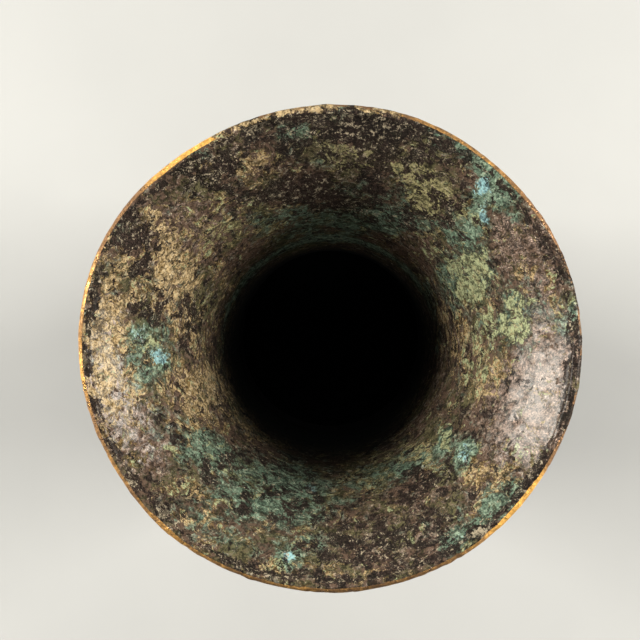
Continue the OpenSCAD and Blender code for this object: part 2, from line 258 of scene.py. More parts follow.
class DrumWall(Wall):
    """The drum's wall: one swelling arc between plain bands. Offsets start at its face."""

    def __init__(self, s):
        self.low = drum_low.z
        self.high = drum_high.z
        self.middle = (self.low + self.high) / 2
        swell = self.high - self.low - 2 * s.band_height
        sag = s.drum / 2 - (s.band / 2 - s.band_step)
        self.arc = (swell ** 2 / 4 + sag ** 2) / (2 * sag)
        self.centre = s.drum / 2 - self.arc

    def radius(self, z, offset):
        return self.centre + math.sqrt((self.arc + offset) ** 2 - (z - self.middle) ** 2)


class FootWall(Wall):
    """The foot's wall: upright at the top, then an arc out to the rim. Offsets start in mid wall."""

    def __init__(self, s):
        self.joint = drum_low.z
        self.half = self.face = s.foot_wall / 2
        self.top = self.joint - s.shoulder - s.upright
        self.low = s.rim_height
        self.mid = s.throat / 2 + self.half
        widening = s.foot / 2 - s.rim_step - self.half - self.mid
        self.lean = 2 * math.atan(widening / (self.top - self.low))
        self.arc = (self.top - self.low) / math.sin(self.lean)
        self.centre = self.mid + self.arc

    def radius(self, z, offset):
        if z > self.top:
            return self.mid + offset
        return self.centre - math.sqrt((self.arc - offset) ** 2 - (z - self.top) ** 2)


def spaced(low, high, step):
    """Heights from low to high, ends included, about a step apart."""
    count = max(1, round(abs(high - low) / step))
    return [low + (high - low) * i / count for i in range(count + 1)]


def ridge(z, centres, radius):
    """Height of a half-round ridge above the wall at z."""
    return max([math.sqrt(max(radius ** 2 - (z - c) ** 2, 0)) for c in centres] or [0])


def rounded(points, radius, turns=3):
    """A closed outline with each sharp corner drawn as a small curve."""
    result = []
    for i, p in enumerate(points):
        before, here, after = Vector(points[i - 1]), Vector(p), Vector(points[(i + 1) % len(points)])
        a, b = before - here, after - here
        if a.angle(b) > math.radians(150):
            result.append(tuple(here))
            continue
        reach = min(radius, a.length * 0.45, b.length * 0.45)
        start, end = here + a.normalized() * reach, here + b.normalized() * reach
        for k in range(turns + 1):
            t = k / turns
            result.append(tuple((1 - t) ** 2 * start + 2 * t * (1 - t) * here + t ** 2 * end))
    return result


# Mesh helpers

def spun(outline, steps, closed=False):
    """A solid of revolution about the z axis, from an outline of radii and heights."""
    bm = bmesh.new()
    verts = [bm.verts.new((r, 0, z)) for r, z in outline]
    pairs = list(zip(verts, verts[1:]))
    if closed:
        pairs.insert(0, (verts[-1], verts[0]))
    edges = [bm.edges.new(pair) for pair in pairs]
    bmesh.ops.spin(
        bm, geom=verts + edges, cent=(0, 0, 0), axis=UP, angle=2 * math.pi, steps=steps, use_merge=True
    )
    bmesh.ops.remove_doubles(bm, verts=bm.verts, dist=MERGE)
    bmesh.ops.recalc_face_normals(bm, faces=bm.faces)
    return bm


def turned(bm, angle, axis="Z"):
    """The same mesh turned about one of the axes."""
    bmesh.ops.rotate(bm, cent=(0, 0, 0), matrix=Matrix.Rotation(angle, 3, axis), verts=bm.verts)
    return bm


def softened(bm, edges, reach, **options):
    """Rounds off the given edges."""
    bmesh.ops.bevel(
        bm, geom=edges, offset=reach, segments=2, profile=0.5, affect="EDGES", material=-1, **options
    )


def finished(bm, name, material, slot, *nodes, smooth=True):
    """Turns a bmesh into a piece that stands for the named nodes and rides on the vessel's body."""
    mesh = bpy.data.meshes.new(name)
    bm.to_mesh(mesh)
    bm.free()
    for face in mesh.polygons:
        face.use_smooth = smooth
    piece = bpy.data.objects.new(name, mesh)
    bpy.context.scene.collection.objects.link(piece)
    mesh.materials.append(material)
    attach(piece, BODY)
    if nodes:
        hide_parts(*nodes)
    return piece


def smooth_step(x):
    x = min(max(x, 0), 1)
    return x * x * (3 - 2 * x)


def rough(p, size, octaves):
    """Fractal noise about 0 at a point, with features of the given size. It is the same in each run."""
    return noise.fractal(Vector(p) / size, 0.9, 2.1, octaves)


# The photographed view, which places the patches of patina inside the mouth

VIEW_DISTANCE = 1.0                      # from the lens to the plane of the lip
VIEW_PIXELS = 640
MOUTH_PIXELS = 505                       # width of the mouth in the picture
MOUTH_CENTRE = Vector((330.5, 348.5))
THROAT_RISE = 8                          # how far above the mouth's centre the throat's centre shows
SENSOR = 36.0


def view_scale():
    """Pixels for a metre in the plane of the lip."""
    return MOUTH_PIXELS / sizes().mouth


def view_place():
    """The camera's place and the point it looks at."""
    depth = neck_high.z - neck_low.z
    nearer = 1 - VIEW_DISTANCE / (VIEW_DISTANCE + depth)
    side = THROAT_RISE / view_scale() / nearer
    middle = Vector((VIEW_PIXELS / 2, VIEW_PIXELS / 2))
    off = (middle - MOUTH_CENTRE) / view_scale()
    place = Vector((0, side, neck_high.z + VIEW_DISTANCE))
    return place, Vector((off.x, -off.y, neck_high.z))


class PhotoView:
    """Gives the picture's pixel for a point on the vessel."""

    def __init__(self):
        self.place, target = view_place()
        self.ahead = (target - self.place).normalized()
        self.right = self.ahead.cross(Vector((0, 1, 0))).normalized()
        self.up = self.right.cross(self.ahead)
        self.scale = view_scale() * (target - self.place).length

    def pixel(self, p):
        d = p - self.place
        k = self.scale / d.dot(self.ahead)
        return Vector((VIEW_PIXELS / 2 + d.dot(self.right) * k, VIEW_PIXELS / 2 - d.dot(self.up) * k))


# Patches inside the mouth: centre in the picture, half width and half height in pixels, turn in degrees and
# strength. In each, that growth is likelier, or rarer if the strength is negative. Noise gives the fine
# pattern.
PATCHES = {
    "crust": (
        (208, 170, 30, 22, -35, 1.0), (133, 234, 26, 26, -45, 0.95), (288, 190, 46, 17, -8, 1.1),
        (345, 122, 80, 12, 4, 0.8), (400, 150, 60, 24, 22, 0.75), (352, 185, 40, 18, 0, 0.7),
        (372, 210, 70, 12, 10, 0.7), (452, 205, 18, 20, 50, 0.9), (155, 308, 28, 18, -10, 0.85),
        (143, 270, 15, 13, 0, 0.8), (191, 325, 11, 34, 8, 0.75), (95, 285, 8, 50, 5, 0.5),
        (392, 538, 80, 28, -12, 0.95), (428, 486, 38, 14, -20, 0.55), (515, 400, 24, 40, 15, 0.35),
        (300, 575, 60, 10, 4, 0.6), (487, 529, 8, 6, 0, 2.0), (131, 480, 8, 9, 40, 1.6),
        (160, 513, 9, 7, 40, 1.6), (540, 478, 9, 32, 38, 1.5), (250, 480, 70, 36, 15, 0.32),
        (255, 130, 11, 5, -20, 1.8), (440, 320, 16, 50, 5, 0.45), (470, 345, 12, 40, 10, 0.4),
        (92, 390, 6, 60, -12, 0.9), (122, 405, 26, 66, -10, -0.35), (545, 365, 24, 70, 2, -0.3),
        (572, 370, 6, 70, 4, 0.8), (466, 425, 20, 16, 30, 0.5), (300, 500, 40, 20, 0, 0.2),
        (228, 462, 10, 6, 30, 0.9), (246, 500, 9, 6, 20, 0.8), (205, 478, 9, 7, 40, 0.7),
        (275, 520, 10, 6, 0, 0.8), (262, 455, 9, 5, 30, 0.7), (225, 345, 14, 40, 0, 0.4),
        (330, 142, 110, 26, 2, 0.5), (120, 455, 8, 26, -30, 0.5), (238, 508, 70, 26, 18, -0.15),
    ),
    "earth": (
        (162, 232, 11, 30, -20, 1.0), (132, 286, 44, 40, 0, 0.68), (180, 292, 26, 40, 0, 0.6),
        (252, 168, 19, 16, -25, 0.8), (178, 240, 26, 40, -25, 0.25), (112, 330, 22, 34, 0, 0.5),
        (120, 395, 32, 60, 12, 0.55), (202, 400, 30, 42, 20, 0.85), (202, 495, 14, 10, 10, 0.75),
        (198, 527, 22, 16, 10, 0.6), (527, 275, 12, 14, 10, 0.7), (462, 318, 30, 46, 0, 0.6),
        (482, 372, 24, 28, 0, 0.7), (480, 470, 18, 13, -35, 0.65), (497, 492, 30, 15, -40, 0.6),
        (310, 568, 60, 9, 3, 0.4), (262, 428, 36, 16, 30, 0.5), (105, 250, 10, 30, 20, 0.4),
        (228, 300, 14, 60, 0, 0.3), (186, 352, 26, 44, 0, 0.4), (202, 170, 17, 10, -30, 0.55),
        (365, 574, 50, 7, -6, 0.4), (99, 372, 14, 62, -4, 0.75), (330, 108, 80, 6, 1, 0.9),
        (262, 116, 26, 6, -12, 0.6),
    ),
    "olive": (
        (345, 158, 24, 15, 0, 0.95), (412, 176, 44, 11, 26, 0.9), (385, 156, 30, 14, 10, 0.9),
        (436, 196, 38, 18, 34, 1.25), (300, 152, 36, 16, -6, 0.6), (392, 462, 52, 17, -18, 0.6),
        (216, 215, 30, 26, -30, 0.4), (170, 270, 20, 30, 0, 0.3), (440, 240, 22, 18, 30, 0.4),
        (250, 225, 50, 14, -20, 0.4),
    ),
    "green": (
        (150, 352, 24, 34, 10, 0.95), (297, 131, 18, 10, 0, 0.9), (340, 116, 14, 6, 0, 0.9),
        (484, 200, 14, 36, 14, 0.9), (447, 144, 30, 9, 30, 0.9), (497, 186, 44, 14, 45, 0.9),
        (402, 212, 76, 16, 18, 0.7), (325, 222, 80, 16, 0, 0.8), (470, 275, 34, 44, 8, 0.7),
        (516, 320, 24, 34, 0, 0.7), (262, 486, 76, 36, 15, 0.6), (250, 524, 64, 30, 14, 0.5),
        (289, 555, 12, 9, 0, 0.8), (300, 492, 36, 26, 0, 0.5), (400, 466, 62, 17, -18, 0.65),
        (466, 456, 9, 20, 20, 1.2), (444, 442, 7, 12, 0, 1.0), (458, 540, 20, 14, -30, 1.1),
        (498, 506, 32, 14, -42, 0.9), (430, 520, 44, 12, -14, 0.5), (196, 158, 12, 9, -35, 0.9),
        (560, 315, 14, 22, -4, 0.9), (573, 310, 6, 60, -4, 0.6), (180, 440, 26, 22, 0, 0.45),
        (120, 232, 20, 20, 0, 0.4), (205, 448, 30, 14, 30, 0.5), (330, 545, 30, 12, 0, 0.4),
    ),
    "leaf": (
        (468, 276, 22, 30, 25, 1.15), (515, 320, 17, 30, 0, 1.15), (445, 441, 6, 12, -10, 1.2),
        (478, 350, 16, 40, 12, 0.75), (363, 566, 9, 5, -10, 1.0), (430, 252, 16, 9, 30, 0.5),
        (150, 338, 22, 18, 0, 0.45), (520, 445, 10, 9, 0, 0.7), (228, 470, 12, 6, 30, 0.6),
    ),
    "azure": (
        (482, 187, 9, 10, 14, 1.5), (485, 214, 5, 11, -10, 1.4), (160, 356, 9, 8, 0, 1.5),
        (289, 555, 6, 5, 0, 1.8), (311, 488, 7, 6, 30, 1.4), (465, 452, 6, 13, 20, 0.7),
        (463, 538, 10, 9, -30, 0.7), (137, 330, 10, 12, 0, 0.4), (205, 163, 9, 7, 0, 0.5),
    ),
    "bare": (
        (545, 370, 34, 90, 2, 1.1), (518, 236, 28, 28, 35, 0.9), (512, 415, 36, 46, 20, 0.9),
        (108, 392, 22, 56, -12, 0.7), (150, 440, 32, 36, -20, 0.4), (195, 228, 26, 32, -30, 0.5),
        (104, 322, 14, 30, 0, 0.6), (420, 520, 60, 30, -10, 0.3),
    ),
}
GROWTHS = tuple(PATCHES)
PATCH_REACH = 170                        # a patch isn't felt further off than this, in pixels
RAGGED = 10                              # how far the patches' edges are pushed about, in pixels
NEAT = 0.3                               # the share of that for the small blue specks and the nodules


def patch_strengths(at, shift):
    """How much likelier each growth is at a pixel, from 0; the shift makes the patches' edges ragged."""
    result = {}
    for kind, patches in PATCHES.items():
        x, y = at + shift * (NEAT if kind == "azure" else 1)
        near = [patch for patch in patches if max(abs(x - patch[0]), abs(y - patch[1])) < PATCH_REACH]
        result[kind] = sum(patch[5] * under_ellipse(x, y, patch) for patch in near)
    return result


# Nodules of crust and chips out of it: centre, half width and half height in pixels, turn in degrees, height
KNOBS = (
    (186, 168, 6, 5, 0, 0.8 * MM), (199, 160, 6, 5, 30, 0.9 * MM), (206, 173, 7, 5, 20, 1.0 * MM),
    (193, 181, 6, 5, 0, 0.8 * MM), (216, 168, 5, 5, 0, 0.7 * MM), (214, 184, 7, 6, 0, 0.7 * MM),
    (255, 131, 12, 5, -18, -1.3 * MM), (487, 529, 8, 6, 0, -1.0 * MM), (270, 125, 6, 4, 0, -0.7 * MM),
    (178, 425, 9, 5, 20, 0.6 * MM), (371, 136, 12, 4, -8, 0.6 * MM), (482, 187, 8, 9, 14, 0.5 * MM),
    (484, 215, 5, 9, -10, 0.5 * MM), (290, 555, 8, 6, 0, -0.5 * MM), (311, 487, 9, 7, 30, -0.5 * MM),
    (120, 245, 7, 6, 0, 0.5 * MM), (345, 140, 9, 6, 0, 0.5 * MM), (390, 150, 8, 6, 0, 0.5 * MM),
    (465, 452, 5, 12, 20, 0.5 * MM), (445, 441, 4, 11, -10, 0.4 * MM), (132, 481, 9, 7, 40, -0.5 * MM),
    (160, 513, 9, 6, 40, -0.5 * MM), (420, 135, 9, 5, 20, 0.5 * MM), (452, 160, 8, 6, 30, 0.5 * MM),
)
KNOB_REACH = 20                          # and a nodule isn't felt further off than this


def under_ellipse(x, y, ellipse):
    """From 1 at the middle of an ellipse to 0 half as far again as its edge."""
    px, py, half_w, half_h, turn = ellipse[:5]
    dx, dy = x - px, y - py
    c, s = math.cos(math.radians(turn)), math.sin(math.radians(turn))
    return smooth_step(1.5 - math.hypot((dx * c + dy * s) / half_w, (dy * c - dx * s) / half_h))


# How bright the lip's bare edge is, partly where it is rubbed to gold and partly as a painted highlight where
# the
# lamps catch the lip: middle and half length of a stretch in degrees, anticlockwise from the right, and how
# much brighter or duller it is
LIP_WEAR_AND_HIGHLIGHT = (
    (127, 10, 0.55), (321, 9, 0.6), (176, 16, 0.2), (50, 24, 0.15), (255, 26, 0.14), (218, 18, 0.12),
    (303, 10, 0.14), (10, 22, -0.3), (342, 12, -0.12), (98, 14, -0.25),
)
LIP_SHINE = 0.27                         # how bright the edge is elsewhere

# Stretches of the mouth in the same degrees, as a middle and a half length
LIP_TOP = (96, 22)                       # where the lip stays under pale earth
LIP_DULL = (2, 20)                       # where the lip stays dark
GROOVE_DARK = (345, 40)                  # where the groove inside the lip is darkest
THROAT_GLINT_SIDE = (95, 70)                     # where the faint ring of painted highlight in the throat shows

# Places across the mouth, as shares of its radius
LIP_INNER = 0.97                         # the lip starts here
LIP_EDGE = 0.985                         # and its bare edge here
GROOVE = 0.955                           # middle of the dark groove inside the lip
GROOVE_HALF = 0.018                      # and half its width

# Heights in the throat
THROAT_GLINT_HEIGHT = 0.188                      # the faint ring of painted highlight
THROAT_GLINT_HALF = 6 * MM
SHADE_EDGE = 0.157                        # the painted depth shade is black below this, and fades out above it
SHADE_FADE = 0.072
SHADE_TURN = 75                           # in degrees, the side on which the painted shade's edge is lowest
SHADE_SWAY = 19 * MM                      # how much lower its edge is there, and higher across from it
SHADE_DIPS = ((335, 24, 12 * MM), (90, 40, 8 * MM))    # stretches where the edge dips, and how far


def stretch(angle, middle, half):
    """From 1 in a stretch of the lip to 0 beyond its ends."""
    return smooth_step(1.6 - abs((angle - middle + 180) % 360 - 180) / half)


def lip_shine(angle):
    return LIP_SHINE + sum(strength * stretch(angle, middle, half) for middle, half, strength in LIP_WEAR_AND_HIGHLIGHT)


# Castings

EDGE = 0.4 * MM                          # rounding of a casting's corners
RIM_EDGE = 0.5 * MM                      # and of the foot's rim
BEAD_TURN = 124                          # in degrees, how far the lip's bead runs round either way
BEAD_STEPS = 16
FINE = 0.3 * MM                          # height between points on the bowstring lines
STRINGS = 2                              # bowstring lines beside a joint
LIP_WAVES = ((3, 0.30, -2.2), (4, 0.28, 0.9), (5, 0.22, -1.1), (9, 0.08, 2.0))    # times round, mm, turn

# What shifts the patterns on each finish, so that no two pieces show the same spots
SEEDS = {"neck": 0, "drum": 3, "foot": 7, "floor": 11, "flange": 13, "pin": 5, "plug": 9}
FLANGE_SEED = 20                         # and the growths on the first flange


def neck_outline(s, wall):
    """The neck casting in section: up the inside, round the lip, down the outside and round the spigot."""
    spigot_low = neck_low.z
    throat = s.throat / 2
    inner = wall.line(-wall.half, spigot_low + 0.6 * MM, 1.3 * MM)
    bead = []
    along = Vector((math.sin(wall.lip_lean), math.cos(wall.lip_lean)))
    across = Vector((-along.y, along.x))
    for k in range(BEAD_STEPS + 1):
        turn = math.radians(BEAD_TURN - 2 * BEAD_TURN * k / BEAD_STEPS)
        p = Vector(wall.lip_mid) + wall.lip * (along * math.cos(turn) + across * math.sin(turn))
        bead.append(tuple(p))
    strings = [wall.joint + s.shoulder + s.string_up + k * s.string_pitch for k in range(STRINGS)]
    shoulder_top = wall.joint + s.shoulder
    top = wall.lip_mid[1] - wall.half * math.sin(wall.lip_lean)
    heights = [shoulder_top + FINE] + spaced(strings[0] - 1.4 * MM, strings[-1] + 1.4 * MM, FINE)
    heights += spaced(strings[-1] + 2.4 * MM, top - 1.0 * MM, 1.5 * MM)
    outer = [(wall.outside(z) + ridge(z, strings, s.string / 2), z) for z in reversed(heights)]
    joint = rounded([
        (wall.outside(shoulder_top), shoulder_top),
        (s.band / 2, shoulder_top),
        (s.band / 2, wall.joint),
        (throat + s.spigot_wall, wall.joint),
        (throat + s.spigot_wall, spigot_low),
        (throat, spigot_low),
    ], EDGE)
    return inner + bead + outer + joint


def corroded(bm, depth, calm=None):
    """Swells and pits a cast surface; calm gives 0 where it has to stay true."""
    bm.normal_update()
    moves = []
    for v in bm.verts:
        k = calm(v.co) if calm else 1
        p = v.co
        swell = 0.5 * rough(p, 22 * MM, 2)
        crust = max(rough(p + Vector((1, 2, 3)), 5 * MM, 4) - 0.05, 0)
        pit = max(rough(p + Vector((5, 1, 9)), 2.6 * MM, 3) - 0.42, 0)
        leather = rough(p + Vector((7, 4, 2)), 3.2 * MM, 1)
        moves.append(v.normal * depth * k * (0.25 * swell + 0.6 * crust - 1.6 * pit + 0.22 * leather))
    for v, move in zip(bm.verts, moves):
        v.co += move


def shape_mouth(bm, s, wall):
    """Draws the mouth out of round and wavers its lip, as the old casting is."""
    short = s.mouth_short / s.mouth
    for v in bm.verts:
        up = smooth_step((v.co.z - wall.waist_z) / (wall.top - wall.waist_z))
        a = math.atan2(v.co.y, v.co.x)
        waver = sum(high * math.cos(times * a + turn) for times, high, turn in LIP_WAVES)
        grow = 1 + (waver * MM - 0.25 * MM) * up / (s.mouth / 2)
        v.co.x *= grow
        v.co.y *= grow * (1 + (short - 1) * up)


def painted_depth_shade(z, angle):
    """Painted shade on the wall, standing in for the dark of the depth: nearly fully black in the throat, and
    higher up on the side that gets less light.
    """
    edge = SHADE_EDGE - SHADE_SWAY * math.cos(math.radians(angle - SHADE_TURN))
    edge -= sum(dip * stretch(angle, middle, half) for middle, half, dip in SHADE_DIPS)
    return 0.985 * (1 - smooth_step((z - edge) / SHADE_FADE))


def mouth_growth(v, layers, view, reach, angle):
    """Lays out the patina at a point inside the mouth, by the picture."""
    shift = Vector((rough(v.co, 9 * MM, 3), rough(v.co + UP, 9 * MM, 3))) * RAGGED
    at = view.pixel(v.co)
    for name, strength in patch_strengths(at, shift).items():
        v[layers[name]] = strength
    # painted highlight: a faint greenish ring in the throat, less shaded, where light glances off the wall
    ring = math.exp(-((v.co.z - THROAT_GLINT_HEIGHT) / THROAT_GLINT_HALF) ** 2) * stretch(angle, *THROAT_GLINT_SIDE)
    v[layers["soot"]] = painted_depth_shade(v.co.z, angle) * (1 - 0.14 * ring)
    v[layers["green"]] += 1.5 * ring
    groove = max(1 - abs(reach - GROOVE - 0.006 * rough(v.co, 8 * MM, 2)) / GROOVE_HALF, 0)
    v[layers["crust"]] += groove * (1.0 + 0.5 * stretch(angle, *GROOVE_DARK) + 1.5 * rough(v.co, 4 * MM, 3))
    at += shift * NEAT
    for knob in KNOBS:
        if max(abs(at.x - knob[0]), abs(at.y - knob[1])) >= KNOB_REACH:
            continue
        lift, rise = under_ellipse(*at, knob), knob[5]
        v[layers["crust"]] += lift * (1.0 if rise < 0 else 0.35 if rise > 0.5 * MM else 0)
        v[layers["knob"]] += lift * rise / MM


def lip_growth(v, layers, reach, angle):
    """Rubs the lip's edge bare at a point, but for the stretches that stay covered."""
    # the lip's brightness is partly rubbed gold and partly a painted highlight
    shine = lip_shine(angle)
    v[layers["shine"]] = shine
    covered = stretch(angle, *LIP_TOP) * (0.75 + 0.9 * rough(v.co, 7 * MM, 3))
    dull = stretch(angle, *LIP_DULL) * (0.7 + 0.9 * rough(v.co, 7 * MM, 3))
    edge = LIP_EDGE - 0.009 * shine + 0.004 * rough(v.co, 12 * MM, 2)
    v[layers["wear"]] = smooth_step((reach - edge) / 0.005) * (1 - max(covered, dull))
    v[layers["earth"]] += covered
    v[layers["crust"]] += dull * 0.5


def neck_growth(bm, wall, reaches):
    """Lays out the neck's patina and raises its nodules. The reaches are shares of the mouth's radius."""
    exterior_growth(bm, SEEDS["neck"])
    layers = {layer.name: layer for layer in bm.verts.layers.float.values()}
    view = PhotoView()
    for v, reach in zip(bm.verts, reaches):
        angle = math.degrees(math.atan2(v.co.y, v.co.x)) % 360
        if math.hypot(v.co.x, v.co.y) < wall.radius(v.co.z, 0.4 * MM):
            mouth_growth(v, layers, view, reach, angle)
        if reach > LIP_INNER and v.co.z > wall.top - 6 * MM:
            lip_growth(v, layers, reach, angle)
    bm.normal_update()
    knob = layers["knob"]
    moves = [(v, v.normal * v[knob] * MM) for v in bm.verts if v[knob]]
    for v, move in moves:
        v.co += move


class NeckOperator(bpy.types.Operator):
    """Model the neck casting with its trumpet mouth, lip bead and bowstring lines"""

    bl_idname = "gu.neck"
    bl_label = "Neck casting"

    def execute(self, context):
        s = sizes()
        wall = NeckWall(s)
        bm = spun(neck_outline(s, wall), CASTING_STEPS, closed=True)
        corroded(bm, 0.55 * MM, lambda p: smooth_step((p.z - wall.joint - 1 * MM) / (8 * MM)))
        reaches = [math.hypot(v.co.x, v.co.y) / (s.mouth / 2) for v in bm.verts]
        shape_mouth(bm, s, wall)
        neck_growth(bm, wall, reaches)
        finished(bm, "neck_casting_worn", patina("neck"), "neck_patina", "neck_casting")
        return {"FINISHED"}


class DrumOperator(bpy.types.Operator):
    """Model the drum casting with its sockets and swell"""

    bl_idname = "gu.drum"
    bl_label = "Drum casting"

    def execute(self, context):
        s = sizes()
        wall = DrumWall(s)
        band = s.band / 2
        socket = s.throat / 2 + s.spigot_wall + s.solder_gap
        low_swell, high_swell = wall.low + s.band_height, wall.high - s.band_height
        outer = rounded([
            (socket, wall.low), (band, wall.low), (band, low_swell), (wall.outside(low_swell), low_swell),
        ], EDGE)[2:]
        outer += [(wall.outside(z), z) for z in spaced(low_swell + 0.8 * MM, high_swell - 0.8 * MM, 0.9 * MM)]
        outer += rounded([
            (wall.outside(high_swell), high_swell), (band, high_swell),
            (band, wall.high), (socket, wall.high),
        ], EDGE)[:-2]
        low_bore, high_bore = wall.low + s.lining, wall.high - s.lining
        bore = [(socket, wall.high - 0.3 * MM), (socket, high_bore)]
        bore += [(wall.radius(z, -s.drum_wall), z) for z in reversed(spaced(low_bore, high_bore, 2 * MM))]
        bore += [(socket, low_bore), (socket, wall.low + 0.3 * MM)]
        bm = spun(outer + bore, CASTING_STEPS, closed=True)
        corroded(bm, 0.4 * MM, lambda p: 1 if math.hypot(p.x, p.y) > socket + 1 * MM else 0)
        exterior_growth(bm, SEEDS["drum"])
        shade_inside(bm, lambda r, z: r < min(wall.outside(z), band) - s.drum_wall * 0.6)
        finished(bm, "drum_casting_worn", patina("drum"), "drum_patina", "drum_casting")
        return {"FINISHED"}


class FootOperator(bpy.types.Operator):
    """Model the foot casting with its rim, spigot and bowstring lines"""

    bl_idname = "gu.foot"
    bl_label = "Foot casting"

    def execute(self, context):
        s = sizes()
        wall = FootWall(s)
        throat = s.throat / 2
        rim = s.foot / 2
        strings = [wall.joint - s.shoulder - s.string_up - k * s.string_pitch for k in range(STRINGS)]
        shoulder = wall.joint - s.shoulder
        rim_outline = rounded([
            (rim - s.rim_wall, wall.low - 1 * MM),
            (rim - s.rim_wall, 0),
            (rim, 0),
            (rim, wall.low),
            (wall.outside(wall.low), wall.low),
        ], RIM_EDGE)[2:]
        heights = spaced(wall.low + 0.8 * MM, strings[-1] - 1.8 * MM, 1.0 * MM)
        heights += spaced(strings[-1] - 1.4 * MM, strings[0] + 1.4 * MM, FINE) + [shoulder - FINE]
        outer = [(wall.outside(z) + ridge(z, strings, s.string / 2), z) for z in heights]
        joint = rounded([
            (wall.outside(shoulder), shoulder),
            (s.band / 2, shoulder),
            (s.band / 2, wall.joint),
            (throat + s.spigot_wall, wall.joint),
            (throat + s.spigot_wall, foot_high.z),
            (throat, foot_high.z),
            (throat, shoulder),
        ], EDGE)[:-1]
        inside = reversed(spaced(wall.low, wall.joint - 4 * MM, 1.6 * MM))
        inner = [(wall.radius(z, -wall.half), z) for z in inside]
        ledge = [(rim - s.rim_wall, wall.low - 0.6 * MM)]
        bm = spun(rim_outline + outer + joint + inner + ledge, CASTING_STEPS, closed=True)

        def calm(p):
            return smooth_step((p.z - 0.2 * MM) / (3 * MM)) * smooth_step((wall.joint - p.z) / (3 * MM))

        corroded(bm, 0.4 * MM, calm)
        exterior_growth(bm, SEEDS["foot"])
        shade_inside(bm, lambda r, z: r < throat + s.spigot_wall + 0.5 * MM)
        finished(bm, "foot_casting_worn", patina("foot"), "foot_patina", "foot_casting")
        return {"FINISHED"}


def exterior_growth(bm, seed, rubbed=0.0, top=None):
    """Spreads the growths over a piece in broad drifts, fewer where it is rubbed.

    If top is given, it tells how far a point stands above the wall, and only high points are rubbed.
    """
    layers = {name: bm.verts.layers.float.new(name) for name in GROWTHS + ("wear", "shine", "soot", "knob")}
    away = Vector((seed, 2 * seed, 3))
    for v in bm.verts:
        high = rubbed * (smooth_step((top(v.co) - 0.3 * MM) / (0.5 * MM)) if top else 1)
        v[layers["earth"]] = 0.05 + 0.7 * rough(v.co + away, 30 * MM, 2) - 0.5 * high
        v[layers["green"]] = 0.42 + 0.8 * rough(v.co - away, 34 * MM, 2) - 0.6 * high
        v[layers["crust"]] = 0.22 + 0.6 * rough(v.co + 2 * away, 22 * MM, 2) - 0.9 * high
        v[layers["bare"]] = 0.1 + 0.8 * high
        v[layers["wear"]] = high * (0.3 + 0.5 * rough(v.co + 3 * away, 12 * MM, 2))
        v[layers["shine"]] = 0.12 * high


def shade_inside(bm, inside):
    """Paints shade on the faces that the given test finds inside the vessel, standing in for the dark in
    there.
    """
    soot = bm.verts.layers.float["soot"]
    for v in bm.verts:
        if v.co.z > floor_low.z and inside(math.hypot(v.co.x, v.co.y), v.co.z):
            v[soot] = 1.0


# Materials

SEED_SHIFT = 0.017                       # how far a seed of 1 moves a pattern


class Value:
    """A number socket that can be used in sums."""

    def __init__(self, finish, socket):
        self.finish = finish
        self.socket = socket

    def _math(self, operation, first, second):
        return self.finish.node("ShaderNodeMath", {"operation": operation}, {0: first, 1: second})

    def __add__(self, other):
        return self._math("ADD", self, other)

    __radd__ = __add__

    def __sub__(self, other):
        return self._math("SUBTRACT", self, other)

    def __rsub__(self, other):
        return self._math("SUBTRACT", other, self)

    def __mul__(self, other):
        return self._math("MULTIPLY", self, other)

    __rmul__ = __mul__

    def __abs__(self):
        return self._math("ABSOLUTE", self, 0)

    def over(self, low, high):
        """A smooth step from 0 at low to 1 at high."""
        limits = {"Value": self, "From Min": low, "From Max": high}
        return self.finish.node("ShaderNodeMapRange", {"interpolation_type": "SMOOTHSTEP"}, limits)


